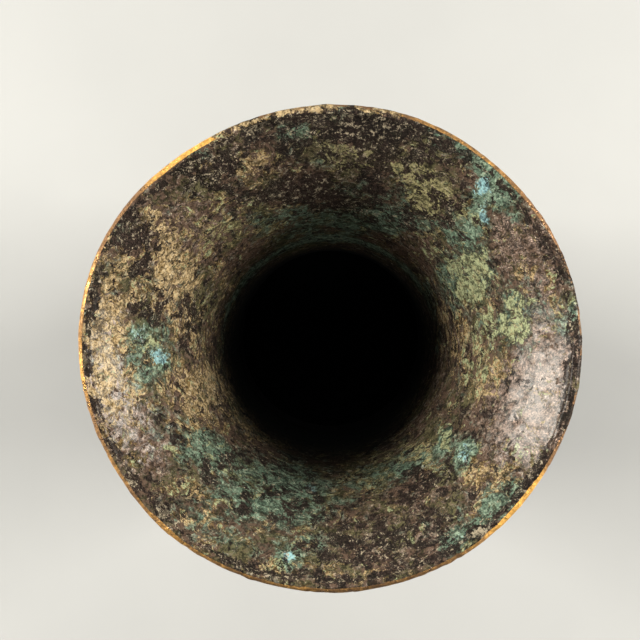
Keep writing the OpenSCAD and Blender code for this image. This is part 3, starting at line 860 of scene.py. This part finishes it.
class Finish:
    """A material under construction."""

    def __init__(self, name):
        self.material = bpy.data.materials.new(name)
        self.material.use_nodes = True
        self.tree = self.material.node_tree
        self.shader = self.tree.nodes["Principled BSDF"]

    def node(self, kind, settings=None, inlets=None, outlet=0):
        new = self.tree.nodes.new(kind)
        for key, value in (settings or {}).items():
            setattr(new, key, value)
        for key, value in (inlets or {}).items():
            if isinstance(value, Value):
                self.tree.links.new(value.socket, new.inputs[key])
            else:
                new.inputs[key].default_value = value
        return Value(self, new.outputs[outlet])

    def place(self, offset=0.0):
        coords = self.node("ShaderNodeTexCoord", outlet="Object")
        inlets = {"Vector": coords, "Location": (offset, 2 * offset, 3 * offset)}
        return self.node("ShaderNodeMapping", None, inlets)

    def noise(self, place, size, detail=4.0, roughness=0.6, outlet=0, swirl=0.0):
        """Noise with features of the given size in metres."""
        inlets = {"Vector": place, "Scale": 1 / size, "Detail": detail, "Roughness": roughness}
        inlets["Distortion"] = swirl
        return self.node("ShaderNodeTexNoise", None, inlets, outlet)

    def fields(self, place, size, detail, swirl=0.0):
        """Three unlike patterns with features of the given size and finer, each spread by about 1 round 0."""
        vector = self.noise(place, size, detail, 0.72, "Color", swirl)
        split = self.node("ShaderNodeSeparateColor", None, {"Color": vector})
        spread = 0.15 / (1 + 0.24 * detail)
        channels = [Value(self, socket) for socket in split.socket.node.outputs]
        return [(channel - 0.5) * (1 / spread) for channel in channels]

    def bend(self, place, size, reach):
        """The place pushed about by up to the given reach, so that patterns lose their grain."""
        push = self.noise(place, size, 2, 0.5, outlet="Color")
        inlets = {0: push, 1: (2 * reach,) * 3, 2: place}
        return self.node("ShaderNodeVectorMath", {"operation": "MULTIPLY_ADD"}, inlets)

    def attribute(self, name):
        return self.node("ShaderNodeAttribute", {"attribute_name": name}, outlet="Fac")

    def mix(self, a, b, factor):
        """Colour a turning into colour b."""
        a = a if isinstance(a, Value) else (*a, 1)
        b = b if isinstance(b, Value) else (*b, 1)
        return self.node("ShaderNodeMix", {"data_type": "RGBA"}, {0: factor, 6: a, 7: b}, outlet=2)

    def scaled(self, colour, factor):
        """The colour made darker or lighter."""
        return self.node("ShaderNodeVectorMath", {"operation": "SCALE"}, {0: colour, "Scale": factor})

    def set(self, socket, value):
        if isinstance(value, Value):
            self.tree.links.new(value.socket, self.shader.inputs[socket])
        else:
            self.shader.inputs[socket].default_value = value

    def bump(self, height, strength=1.0, distance=MM):
        inlets = {"Strength": strength, "Distance": distance, "Height": height}
        self.set("Normal", self.node("ShaderNodeBump", None, inlets))


def patina(kind):
    """The mottled patina: crust, browns, a satin skin, earth, greens, and bare metal where it is rubbed."""
    name = kind + " patina"
    if name in bpy.data.materials:
        return bpy.data.materials[name]
    c = colours()
    f = Finish(name)
    place = f.place(SEEDS[kind] * SEED_SHIFT)
    bent = f.bend(place, 9 * MM, 3 * MM)
    crust, earth, olive, green = (f.attribute(kind) for kind in ("crust", "earth", "olive", "green"))
    leaf, azure, bare = (f.attribute(kind) for kind in ("leaf", "azure", "bare"))
    wear, shine, soot = f.attribute("wear"), f.attribute("shine"), f.attribute("soot")
    broad, broad_b, broad_c = f.fields(bent, 15 * MM, 3)
    patch, patch_b, patch_c = f.fields(bent, 5.0 * MM, 5, 0.7)
    crumb, crumb_b, crumb_c = f.fields(place, 2.0 * MM, 3, 0.5)
    grit, grit_b, grit_c = f.fields(place, 0.7 * MM, 2)
    grain = f.fields(place, 1.15 * MM, 1, 0.8)[0]
    # brown ground, turning olive in broad areas, with a satin skin and a green veil
    colour = f.mix(c.brown, c.film, (broad + crumb_b * 0.5 - bare).over(-0.5, 1.1))
    skin = (bare * 1.6 + patch_c * 0.5 + crumb_c * 0.5 + grit * 0.2).over(0.2, 1.7)
    # painted highlight: the satin skin turns lighter on the tops of its fine grain
    colour = f.mix(colour, f.mix(c.brown, c.bare, (grain + crumb_c * 0.5).over(-2.2, 0.6)), skin)
    veil = (green * 1.4 + broad_c * 0.3 + patch * 0.3 + crumb_c * 0.25).over(0.1, 1.7)
    colour = f.mix(colour, c.veil, veil * 0.8)
    # earth, tan or olive
    earthy = patch_b + crumb_b * 0.45 + grit_b * 0.1 + (earth + olive) * 2.1 - crust * 0.7
    earthy = earthy.over(1.1, 1.35)
    yellow = (broad_b * 0.4 + crumb_c * 0.7 + grit_c * 0.25 + earth * 0.6).over(-1.0, 1.3)
    tan = f.mix(c.ochre, c.earth, yellow)
    tan = f.mix(tan, c.olive, (olive * 1.6 - earth * 0.8 + crumb * 0.3).over(0.1, 1.0))
    tan = f.mix(tan, c.pale, (grit_b * 0.4 + crumb * 0.8 + earth * 0.4).over(0.8, 2.0))
    colour = f.mix(colour, tan, earthy * 0.97)
    # greens: a soft dull film, paler on the tops, with sharper yellow-green scale and blue specks
    verdant = (patch_c * 0.6 + broad_c * 0.35 + crumb_c * 0.3 + green * 1.9 - bare * 0.2).over(0.85, 2.1)
    bloom = f.mix(c.green, c.mint, (crumb * 0.9 + grit_c * 0.25 + green * 0.6).over(0.0, 2.2))
    colour = f.mix(colour, bloom, verdant * 0.85)
    scale = (patch_b + crumb * 0.45 + grit_c * 0.1 + leaf * 2.4).over(1.7, 1.95)
    colour = f.mix(colour, f.mix(c.leaf, c.olive, (grit_b * 0.4 + crumb_c).over(0.0, 1.6)), scale * 0.95)
    blue = (patch * 0.5 + crumb_c * 0.6 + azure * 1.8 + green * 0.3).over(1.4, 2.8)
    colour = f.mix(colour, f.mix(c.mint, c.azure, blue), blue.over(0.0, 0.4) * 0.92)
    # dark crust over all, with its own pale crumbs and thin curling seams
    dark = patch + crumb * 0.55 + grit * 0.15 + crust * 2.0
    dark = (dark - earth * 0.3 - leaf * 0.6 - azure - bare * 0.35).over(0.98, 1.26)
    black = f.mix(c.crust, c.char, (crumb_b * 0.8 + grit_c * 0.3 + broad_b * 0.4).over(-1.2, 1.2))
    # painted glints: paler colour on the tops of the crust's grain, where the bump would catch light
    black = f.mix(black, c.crust_glint, (grit * 0.7 + crumb_c * 0.5).over(0.5, 1.9) * 0.8)
    colour = f.mix(colour, black, dark * 0.96)
    crumbs = (grit_b * 0.6 + crumb_c * 0.9 + crust * 0.6 - bare * 0.4).over(1.65, 2.0)
    colour = f.mix(colour, c.crumb, crumbs * 0.75)
    seams = (1 - abs(crumb_b + grit * 0.12) * 5.0 + (crust + green) * 0.3 - bare * 0.7).over(0.55, 1.0)
    seams = seams * (patch_c + broad * 0.4).over(0.2, 1.0)
    colour = f.mix(colour, f.mix(c.crumb, c.mint, veil), seams * 0.5)
    # partly dirt, partly painted shade in the hollows and painted highlight on the tops of the fine relief
    relief_shade_and_sheen = 0.28 + (grit_c * 0.5 - crumb_b * 0.8).over(-1.4, 1.2) * 1.2
    colour = f.scaled(colour, relief_shade_and_sheen)
    # painted shade in the depth of the throat, inside the drum and the foot, and on the cup's floor
    colour = f.mix(colour, c.soot, soot)
    # bare metal, brown where it is dull and golden where it is bright; on the lip the bright gold is partly a
    # painted highlight
    rubbed = (wear + grit_c * 0.06 + crumb_b * 0.08).over(0.35, 0.6)
    metal = f.mix(c.copper, c.gold, (shine + crumb * 0.08 + broad * 0.06).over(0.25, 0.95))
    # the rubbed metal takes the same painted shade and highlight, more weakly
    colour = f.mix(colour, f.scaled(metal, 0.6 + relief_shade_and_sheen * 0.4), rubbed)
    f.set("Base Color", colour)
    satin = skin * (1 - earthy * 0.7) * (1 - dark) * (1 - verdant * 0.6) * (1 - soot)
    f.set("Metallic", satin * 0.6 + rubbed * (0.25 + shine * 0.2))
    f.set("Roughness", 0.80 - satin * 0.42 + earthy * 0.08 + soot * 0.15 - rubbed * 0.35)
    f.set("Specular IOR Level", 0.09)
    f.set("Coat Weight", skin * 0.42 * (1 - rubbed) * (1 - earthy * 0.5) * (1 - dark * 0.7) * (1 - soot))
    f.set("Coat Roughness", 0.3)
    relief = crumb * 0.050 - grit_c * 0.042 - crumb_b * 0.045
    height = relief * (0.6 + skin * 0.5 + dark * 0.7 + earthy * 0.3 - rubbed * 0.5)
    height = height + (grain * 0.085 + grit * 0.03) * skin
    height = height + earthy * 0.06 + dark * 0.05 + scale * 0.06 + crumbs * 0.08 + seams * 0.05 + blue * 0.1
    f.bump(height)
    return f.material


def solder_finish(name, colour, dull, metallic):
    """A clouded metal that is smooth in some places and dull in others."""
    f = Finish(name)
    place = f.place(4.0)
    cloud = f.noise(place, 3 * MM, 4, 0.6)
    f.set("Base Color", f.mix(colour, dull, cloud.over(0.4, 0.6)))
    f.set("Metallic", metallic)
    f.set("Roughness", 0.4 + cloud * 0.3)
    f.bump(cloud, 0.4, 0.3 * MM)
    return f.material


class SolderOperator(bpy.types.Operator):
    """Give the solder in the joints and round the floor its finish"""

    bl_idname = "gu.solder"
    bl_label = "Solder"

    def execute(self, context):
        c = colours()
        tin = solder_finish("old solder", c.tin, c.char, 0.6)
        # the solder inside the vessel is painted near-black as shade, in the crust and depth-shade colours
        black = solder_finish("depth-shaded solder", c.crust, c.soot, 0.0)
        solders = {"neck_joint_solder": tin, "foot_joint_solder": black, "floor_solder": black}
        for name, material in solders.items():
            node = frame["nodes"][name]
            node.data.materials.clear()
            node.data.materials.append(material)
        return {"FINISHED"}


# Ornament: drawn flat, with x across, y as the height on the vessel and z as the height above the wall

LINE_ROOT = 0.5 * MM                     # how deep a raised line goes into the wall
BOSS_ROOT = 0.6 * MM                     # and how deep the boss of an eye
TOUCH = 1e-6                             # points of a line that are closer than this are one
ARC_STEP = 20                            # in degrees


def swept(paths, width, height, shoulder):
    """Raised lines with rounded shoulders along flat paths. A path that ends where it starts is a loop."""
    half = width / 2
    section = bpy.data.curves.new("section", "CURVE")
    corners = [(-half, -LINE_ROOT), (half, -LINE_ROOT), (half, height), (-half, height)]
    corners = rounded(corners, shoulder, 2)
    profile = section.splines.new("POLY")
    profile.points.add(len(corners) - 1)
    for point, (x, y) in zip(profile.points, corners):
        point.co = (x, y, 0, 1)
    profile.use_cyclic_u = True
    section_holder = bpy.data.objects.new("section", section)
    track = bpy.data.curves.new("track", "CURVE")
    track.dimensions = "3D"
    track.twist_mode = "Z_UP"
    track.bevel_mode = "OBJECT"
    track.bevel_object = section_holder
    track.use_fill_caps = True
    for path in paths:
        closed = (Vector(path[0]) - Vector(path[-1])).length < TOUCH
        path = path[:-1] if closed else path
        spline = track.splines.new("POLY")
        spline.points.add(len(path) - 1)
        for point, (x, y) in zip(spline.points, path):
            point.co = (x, y, 0, 1)
        spline.use_cyclic_u = closed
    holder = bpy.data.objects.new("track", track)
    scene = bpy.context.scene.collection.objects
    scene.link(holder)
    scene.link(section_holder)
    bpy.context.view_layer.update()
    mesh = bpy.data.meshes.new_from_object(holder.evaluated_get(bpy.context.evaluated_depsgraph_get()))
    for thing in (holder, section_holder):
        bpy.data.objects.remove(thing)
    bm = bmesh.new()
    bm.from_mesh(mesh)
    bpy.data.meshes.remove(mesh)
    bmesh.ops.remove_doubles(bm, verts=bm.verts, dist=TOUCH)
    bmesh.ops.recalc_face_normals(bm, faces=bm.faces)
    return bm


def broad_lines(paths, s):
    return swept([stepped(path, 2 * MM) for path in paths], s.string, s.relief, 0.45 * MM)


def fine_lines(paths, s):
    return swept([stepped(path, 3 * MM) for path in paths], s.fine_line, s.ground_relief, 0.1 * MM)


def stepped(points, step):
    """The same path with extra points, no more than a step apart."""
    result = [points[0]]
    for p, q in zip(points, points[1:]):
        count = max(1, math.ceil((Vector(q) - Vector(p)).length / step))
        result += [tuple(Vector(p).lerp(Vector(q), i / count)) for i in range(1, count + 1)]
    return result


def arc(centre, radius, start, end):
    """Points on an arc from one angle to another, in degrees."""
    count = math.ceil(abs(end - start) / ARC_STEP)
    turns = [math.radians(start + (end - start) * i / count) for i in range(count + 1)]
    return [(centre[0] + radius * math.cos(t), centre[1] + radius * math.sin(t)) for t in turns]


def meander(x, y, pitch):
    """A squared spiral about a point."""
    a, b = pitch / 6, pitch / 3
    corners = ((0, 0), (a, 0), (a, a), (-a, a), (-a, -a), (b, -a), (b, b), (-b, b), (-b, -b), (a, -b))
    return [(x + u, y + v) for u, v in corners]


def ground(low, high, half_width, pitch):
    """Squared spirals that fill a zone whose half width depends on the height."""
    spirals = []
    rows = int((high - low) / pitch)
    for row in range(rows):
        y = low + (high - low) * (row + 0.5) / rows
        reach = half_width(y)
        columns = int(2 * reach / pitch)
        spirals += [meander(-reach + 2 * reach * (i + 0.5) / columns, y, pitch) for i in range(columns)]
    return spirals


def joined(parts):
    """One bmesh with the geometry of all the parts."""
    whole = bmesh.new()
    for part in parts:
        mesh = bpy.data.meshes.new("part")
        part.to_mesh(mesh)
        part.free()
        whole.from_mesh(mesh)
        bpy.data.meshes.remove(mesh)
    bmesh.ops.recalc_face_normals(whole, faces=whole.faces)
    return whole


def laid(drawing, wall, angle, flip):
    """The drawing wrapped on to one side of a casting."""
    bm = drawing.copy()
    for v in bm.verts:
        r = wall.radius(v.co.y, wall.face + v.co.z)
        a = math.radians(angle) + math.asin((-v.co.x if flip else v.co.x) / r)
        v.co = (r * math.cos(a), r * math.sin(a), v.co.y)
    return bm


def laid_round(drawing, wall, start, paired=False):
    """The drawing wrapped on to all sides of a casting. If paired, every other one is turned over."""
    sides = [laid(drawing, wall, start + 90 * k, paired and k % 2 == 1) for k in range(SIDES)]
    drawing.free()
    return joined(sides)


LEAF_SIDE = ((0.5, 0), (0.43, 0.3), (0.28, 0.62), (0, 1))    # shares of a leaf's width and height


def leaf(width, height, foot):
    """The closed outline of a pointed leaf that stands at the height foot."""
    side = [(width * x, foot + height * y) for x, y in LEAF_SIDE]
    return [(-width / 2, foot)] + side + [(-x, y) for x, y in reversed(side[:-1])] + [(-width / 2, foot)]


def leaf_half(width, height, foot, y):
    """Half width of a leaf at a height."""
    t = min(max((y - foot) / height, 0), 1)
    for (w0, t0), (w1, t1) in zip(LEAF_SIDE, LEAF_SIDE[1:]):
        if t <= t1:
            return width * (w0 + (w1 - w0) * (t - t0) / (t1 - t0))
    return 0


def half_mask(w, h, line):
    """Raised lines of half an animal mask, its nose at x = 0 and its eye at y = 0, and the eye's x."""
    nose, brow, curl, eye = w / 10, h / 2 - line, h / 8, w * 0.32
    horn, cheek, jaw = nose + w * 0.45, w * 0.9 - curl, w * 0.62
    chin = curl - brow
    end = line / 2
    return [
        [(nose, curl + end), (nose, chin)] + arc((nose + curl, chin), curl, 180, 450)[1:],
        [(nose - end, brow), (horn, brow)] + arc((horn, brow - curl), curl, 90, -90)[1:],
        arc((eye, 0), h / 6, 0, 360),
        [(eye + h / 6, 0), (cheek, 0)] + arc((cheek, curl), curl, -90, 180)[1:],
        [(jaw, end), (jaw, chin)] + arc((jaw - curl, chin), curl, 0, -270)[1:],
    ], eye


def dome(x, y, radius, height):
    """A round boss with a ring round a small pupil."""
    bm = spun([
        (0, -BOSS_ROOT), (radius, -BOSS_ROOT), (radius, 0.1 * MM), (radius * 0.9, height * 0.6),
        (radius * 0.62, height * 0.95), (radius * 0.40, height), (radius * 0.28, height * 0.72),
        (0, height * 0.7),
    ], BOSS_STEPS)
    bmesh.ops.translate(bm, vec=(x, y, 0), verts=bm.verts)
    return bm


def mask_relief(wall, middle, w, h, s):
    """A mask on each of two opposite sides: four halves, each between a nose flange and a tail flange."""
    paths, eye = half_mask(w, h, s.string)
    lines = broad_lines([[(x - w / 2, y + middle) for x, y in path] for path in paths], s)
    boss = dome(eye - w / 2, middle, h / 11, s.eye)
    spirals = ground(middle - h / 2, middle + h / 2, lambda y: w / 2, s.meander)
    return laid_round(joined([lines, boss, fine_lines(spirals, s)]), wall, 45, paired=True)


def leaf_relief(wall, s):
    """A leaf on each side of the neck with a smaller one in it, and squared spirals between the two."""
    low = wall.joint + s.shoulder + s.string_up + s.string_pitch + s.leaf_gap
    inner_w, inner_h, inner_low = s.leaf_width / 2, s.leaf_height * 0.6, low + 3 * s.string
    gap = s.string * 1.5
    outlines = [
        leaf(s.leaf_width - s.string, s.leaf_height - 3 * s.string, low + s.string / 2),
        leaf(inner_w - s.string, inner_h - 3 * s.string, low + 4 * s.string),
    ]

    def reach(y):
        return max(leaf_half(s.leaf_width, s.leaf_height, low, y) - gap, s.meander * 0.55)

    spirals = []
    for spiral in ground(low + gap, low + s.leaf_height * 0.8, reach, s.meander):
        x, y = spiral[0]
        if y < inner_low or abs(x) > leaf_half(inner_w, inner_h, inner_low, y) + s.meander * 0.4:
            spirals.append(spiral)
    return laid_round(joined([broad_lines(outlines, s), fine_lines(spirals, s)]), wall, 0)


class ReliefOperator(bpy.types.Operator):
    """Raise the leaves on the neck and the masks on the drum and the foot, with their ground of spirals"""

    bl_idname = "gu.relief"
    bl_label = "Raised ornament"

    def execute(self, context):
        s = sizes()
        neck, drum, foot = NeckWall(s), DrumWall(s), FootWall(s)
        drum_w = s.drum / 2 * math.sqrt(2) - s.flange - 2 * s.string
        drum_h = drum.high - drum.low - 2 * s.band_height - 2 * s.margin
        foot_low, foot_top = foot_span(s, foot)
        middle, foot_h = (foot_low + foot_top) / 2, foot_top - foot_low
        foot_w = foot.outside(middle) * math.sqrt(2) - s.flange - 2 * s.string
        reliefs = (
            ("neck", neck, leaf_relief(neck, s)),
            ("drum", drum, mask_relief(drum, drum.middle, drum_w, drum_h, s)),
            ("foot", foot, mask_relief(foot, middle, foot_w, foot_h, s)),
        )
        for name, wall, bm in reliefs:
            exterior_growth(bm, SEEDS[name], 1.0, lambda p: math.hypot(p.x, p.y) - wall.outside(p.z))
            finished(bm, name + "_relief", patina(name), name + "_patina")
        return {"FINISHED"}


# Flanges, pins and plugs

def foot_span(s, wall):
    """The lowest and highest points of a foot flange."""
    strings = wall.joint - s.shoulder - s.string_up - s.string_pitch - s.string
    return wall.low + 2 * s.margin, strings - s.margin


def flange_outline(wall, low, high, out, s):
    """A flange seen from its side: its root in the wall's groove and a notched outer edge."""
    count = max(1, int((high - low - s.notch) / s.notch_pitch))
    tooth = (high - low - count * s.notch) / (count + 1)
    points = [(wall.radius(z, wall.face - s.groove), z) for z in spaced(high, low, 3 * MM)]
    for i in range(count + 1):
        start = low + i * (tooth + s.notch)
        end = start + tooth
        points += [(wall.radius(z, wall.face + out), z) for z in (start, start + tooth / 2, end)]
        if i < count:
            points += [(wall.radius(z, wall.face + out - s.notch_depth), z) for z in (end, end + s.notch)]
    return points


def plate(outline, thickness, bevel):
    """A flat plate with softened edges, on the plane y = 0."""
    bm = bmesh.new()
    face = bm.faces.new([bm.verts.new((x, -thickness / 2, z)) for x, z in outline])
    grown = bmesh.ops.extrude_face_region(bm, geom=[face])["geom"]
    far = [part for part in grown if isinstance(part, bmesh.types.BMVert)]
    bmesh.ops.translate(bm, vec=(0, thickness, 0), verts=far)
    bmesh.ops.recalc_face_normals(bm, faces=bm.faces)
    sharp = [edge for edge in bm.edges if edge.calc_face_angle(0) > math.radians(40)]
    softened(bm, sharp, bevel, clamp_overlap=True)
    bmesh.ops.triangulate(bm, faces=[f for f in bm.faces if len(f.verts) > 4])
    return bm


class FlangeOperator(bpy.types.Operator):
    """Model the notched flanges on the drum and the foot"""

    bl_idname = "gu.flanges"
    bl_label = "Flanges"

    def execute(self, context):
        s = sizes()
        drum, foot = DrumWall(s), FootWall(s)
        drum_span = drum.low + s.band_height + s.margin, drum.high - s.band_height - s.margin
        sets = (
            ("drum", flange_outline(drum, *drum_span, s.drum_flange_out, s)),
            ("foot", flange_outline(foot, *foot_span(s, foot), s.foot_flange_out, s)),
        )
        for name, outline in sets:
            for k in range(SIDES):
                bm = turned(plate(outline, s.flange, 0.45 * MM), math.radians(90 * k))
                exterior_growth(bm, FLANGE_SEED + k, 0.6)
                node = f"{name}_flange_{k + 1}"
                finished(bm, node + "_worn", patina("flange"), "flange_patina", node, smooth=False)
        return {"FINISHED"}


class PinOperator(bpy.types.Operator):
    """Model the hammered pins through the joints and the square plugs in the core holes"""

    bl_idname = "gu.pins"
    bl_label = "Pins and plugs"

    def execute(self, context):
        s = sizes()
        neck, foot = NeckWall(s), FootWall(s)
        r = s.pin / 2
        bore, band = s.throat / 2, s.band / 2
        shank = [
            (0, bore + 0.2 * MM), (r, bore + 0.2 * MM), (r, band), (r * 1.15, band + 0.15 * MM),
            (r * 1.1, band + 0.4 * MM), (r * 0.7, band + 0.65 * MM), (0, band + 0.75 * MM),
        ]
        for name, spigot_end in (("neck", neck_low.z), ("foot", drum_low.z)):
            pins = []
            for k in range(s.pins):
                bm = turned(spun(shank, PIN_STEPS), math.pi / 2, "Y")
                up = spigot_end + (neck.joint - neck_low.z) / 2
                bmesh.ops.translate(bm, vec=(0, 0, up), verts=bm.verts)
                pins.append(turned(bm, math.radians(45 + 360 * k / s.pins)))
            bm = joined(pins)
            corroded(bm, 0.3 * MM)
            finished(bm, name + "_pins_worn", worn_metal("pin"), "pin_metal", name + "_joint_pins")
        for name, wall, z in (("neck", neck, neck.joint + s.plug_up), ("foot", foot, foot.low + s.margin)):
            inner, outer = wall.radius(z, -wall.half) + 0.3 * MM, wall.outside(z) + 0.4 * MM
            lean = math.atan2(wall.outside(z + MM) - wall.outside(z - MM), 2 * MM)
            plugs = []
            for k in range(SIDES):
                bm = bmesh.new()
                bmesh.ops.create_cube(bm, size=1)
                bmesh.ops.scale(bm, vec=(outer - inner, s.plug, s.plug), verts=bm.verts)
                softened(bm, list(bm.edges), 0.35 * MM)
                turned(bm, lean, "Y")
                bmesh.ops.translate(bm, vec=((inner + outer) / 2, 0, z), verts=bm.verts)
                plugs.append(turned(bm, math.radians(45 + 90 * k)))
            bm = joined(plugs)
            finished(bm, name + "_plugs_worn", worn_metal("plug"), "plug_metal", name + "_core_plugs")
        return {"FINISHED"}


def worn_metal(kind):
    """Brown bronze with rubbed tops, for the pins and the plugs."""
    name = kind + " metal"
    if name in bpy.data.materials:
        return bpy.data.materials[name]
    c = colours()
    f = Finish(name)
    place = f.place(SEEDS[kind] * SEED_SHIFT)
    patch, patch_b, patch_c = f.fields(place, 3 * MM, 4)
    grit, grit_b, grit_c = f.fields(place, 0.6 * MM, 2)
    colour = f.mix(c.bare, c.ochre, (patch + grit_b * 0.5).over(-0.5, 1.4))
    colour = f.mix(colour, c.green, (patch_b + grit_c * 0.4).over(0.5, 1.3))
    f.set("Base Color", f.scaled(colour, 0.6 + grit.over(-1.5, 1.5) * 0.7))
    f.set("Metallic", (patch + grit_b * 0.5).over(0.0, 1.2) * 0.5)
    f.set("Roughness", 0.5 + patch_c.over(-1.0, 1.0) * 0.2)
    f.bump(grit * 0.03 + patch * 0.05)
    return f.material


FLOOR_ROWS = 24                          # rows of faces from the middle of the floor to its rim


class FloorOperator(bpy.types.Operator):
    """Model the rough disc that closes the cup"""

    bl_idname = "gu.floor"
    bl_label = "Cup floor"

    def execute(self, context):
        r, low, high = floor_high.x, floor_low.z, floor_high.z
        outline = [(0, low), (r - EDGE, low), (r, low + EDGE), (r, high - EDGE)]
        outline += [(r * k / FLOOR_ROWS, high) for k in reversed(range(FLOOR_ROWS))]
        bm = spun(outline, FLOOR_STEPS)
        rim = r - 3 * MM
        corroded(bm, 0.4 * MM, lambda p: 1 if p.z > high - 0.1 * MM and math.hypot(p.x, p.y) < rim else 0)
        # painted shade all over the floor, which lies deep down below the throat
        soot = bm.verts.layers.float.new("soot")
        for v in bm.verts:
            v[soot] = 1.0
        finished(bm, "cup_floor_worn", patina("floor"), "floor_patina", "cup_floor")
        return {"FINISHED"}


# Stage

# Softboxes that point at the mouth: place, width and height in metres, and watts
SOFTBOXES = {
    "left softbox": ((-0.74, 0.18, 0.47), (0.4, 0.4), 19),
    "right softbox": ((0.72, 0.12, 0.47), (0.4, 0.4), 16.5),
    "top softbox": ((0.1, 0.65, 1.25), (0.6, 0.5), 1.2),
    "front softbox": ((0.1, -0.6, 1.2), (0.4, 0.3), 2.0),
}
LAMP_COLOUR = (1.0, 0.945, 0.84)
FLOOR_HALF = 6.0                         # half the side of the stage's floor
FLOOR_COLOURS = (0.31, 0.32, 0.33), (0.34, 0.35, 0.36)
WORLD_COLOUR = (0.86, 0.88, 0.90, 1)
WORLD_LIGHT = 0.10                       # how bright the surroundings are as light
WORLD_SEEN = 0.5                         # and as they are seen, also in metal and glass


def soft_light(name, place, size, watts):
    data = bpy.data.lights.new(name, "AREA")
    data.shape = "RECTANGLE"
    data.size, data.size_y = size
    data.energy = watts
    data.color = LAMP_COLOUR
    lamp = bpy.data.objects.new(name, data)
    lamp.location = place
    mouth = Vector((0, 0, neck_high.z))
    lamp.rotation_euler = (mouth - Vector(place)).to_track_quat("-Z", "Y").to_euler()
    bpy.context.scene.collection.objects.link(lamp)


def pale_surroundings():
    """A world that lights the vessel softly, and looks paler to the camera and in reflections."""
    world = bpy.data.worlds.new("studio")
    world.use_nodes = True
    nodes, links = world.node_tree.nodes, world.node_tree.links
    rays = nodes.new("ShaderNodeLightPath")
    seen = rays.outputs["Is Camera Ray"]
    for kind in ("Is Glossy Ray", "Is Transmission Ray"):
        either = nodes.new("ShaderNodeMath")
        either.operation = "MAXIMUM"
        links.new(seen, either.inputs[0])
        links.new(rays.outputs[kind], either.inputs[1])
        seen = either.outputs[0]
    level = nodes.new("ShaderNodeMapRange")
    level.inputs["To Min"].default_value = WORLD_LIGHT
    level.inputs["To Max"].default_value = WORLD_SEEN
    links.new(seen, level.inputs["Value"])
    background = nodes["Background"]
    background.inputs["Color"].default_value = WORLD_COLOUR
    links.new(level.outputs[0], background.inputs["Strength"])
    return world


def photo_camera():
    """A camera before the mouth, which shows it at the photograph's place and width."""
    place, target = view_place()
    data = bpy.data.cameras.new("camera")
    data.sensor_width = SENSOR
    data.lens = view_scale() * (target - place).length * SENSOR / VIEW_PIXELS
    data.clip_end = 50
    camera = bpy.data.objects.new("camera", data)
    view = PhotoView()
    turn = Matrix((view.right, view.up, -view.ahead)).transposed()
    camera.matrix_world = Matrix.Translation(place) @ turn.to_4x4()
    return camera


class StageOperator(bpy.types.Operator):
    """Set up the pale floor, the soft lights, the surroundings and the camera"""

    bl_idname = "gu.stage"
    bl_label = "Stage"

    def execute(self, context):
        scene = context.scene
        bm = bmesh.new()
        bmesh.ops.create_grid(bm, x_segments=1, y_segments=1, size=FLOOR_HALF)
        mesh = bpy.data.meshes.new("floor")
        bm.to_mesh(mesh)
        bm.free()
        floor = bpy.data.objects.new("floor", mesh)
        scene.collection.objects.link(floor)
        f = Finish("pale floor")
        f.set("Base Color", f.mix(*FLOOR_COLOURS, f.noise(f.place(), 0.05, 3, 0.5)))
        f.set("Roughness", 0.85)
        mesh.materials.append(f.material)
        for name, lamp in SOFTBOXES.items():
            soft_light(name, *lamp)
        scene.world = pale_surroundings()
        scene.camera = photo_camera()
        scene.collection.objects.link(scene.camera)
        scene.view_settings.view_transform = "Standard"
        return {"FINISHED"}


MAKERS = (
    NeckOperator, DrumOperator, FootOperator, FloorOperator, ReliefOperator, FlangeOperator, PinOperator,
    SolderOperator, StageOperator,
)


class GuPanel(bpy.types.Panel):
    """List the operators, the sizes and the colours"""

    bl_idname = "VIEW3D_PT_gu"
    bl_label = "Gu Vessel"
    bl_space_type = "VIEW_3D"
    bl_region_type = "UI"
    bl_category = "Gu Vessel"

    def draw(self, context):
        for maker in MAKERS:
            self.layout.operator(maker.bl_idname)
        for group in (context.scene.gu_sizes, context.scene.gu_colours):
            box = self.layout.box()
            for name in group.bl_rna.properties.keys():
                if name not in ("rna_type", "name"):
                    box.prop(group, name)


CLASSES = (VesselSizes, PatinaColours) + MAKERS + (GuPanel,)


def register():
    for cls in CLASSES:
        bpy.utils.register_class(cls)
    bpy.types.Scene.gu_sizes = PointerProperty(type=VesselSizes)
    bpy.types.Scene.gu_colours = PointerProperty(type=PatinaColours)


def unregister():
    del bpy.types.Scene.gu_colours
    del bpy.types.Scene.gu_sizes
    for cls in reversed(CLASSES):
        bpy.utils.unregister_class(cls)


def main():
    register()
    for maker in MAKERS:
        family, name = maker.bl_idname.split(".")
        getattr(getattr(bpy.ops, family), name)()


if __name__ == "__main__":
    main()
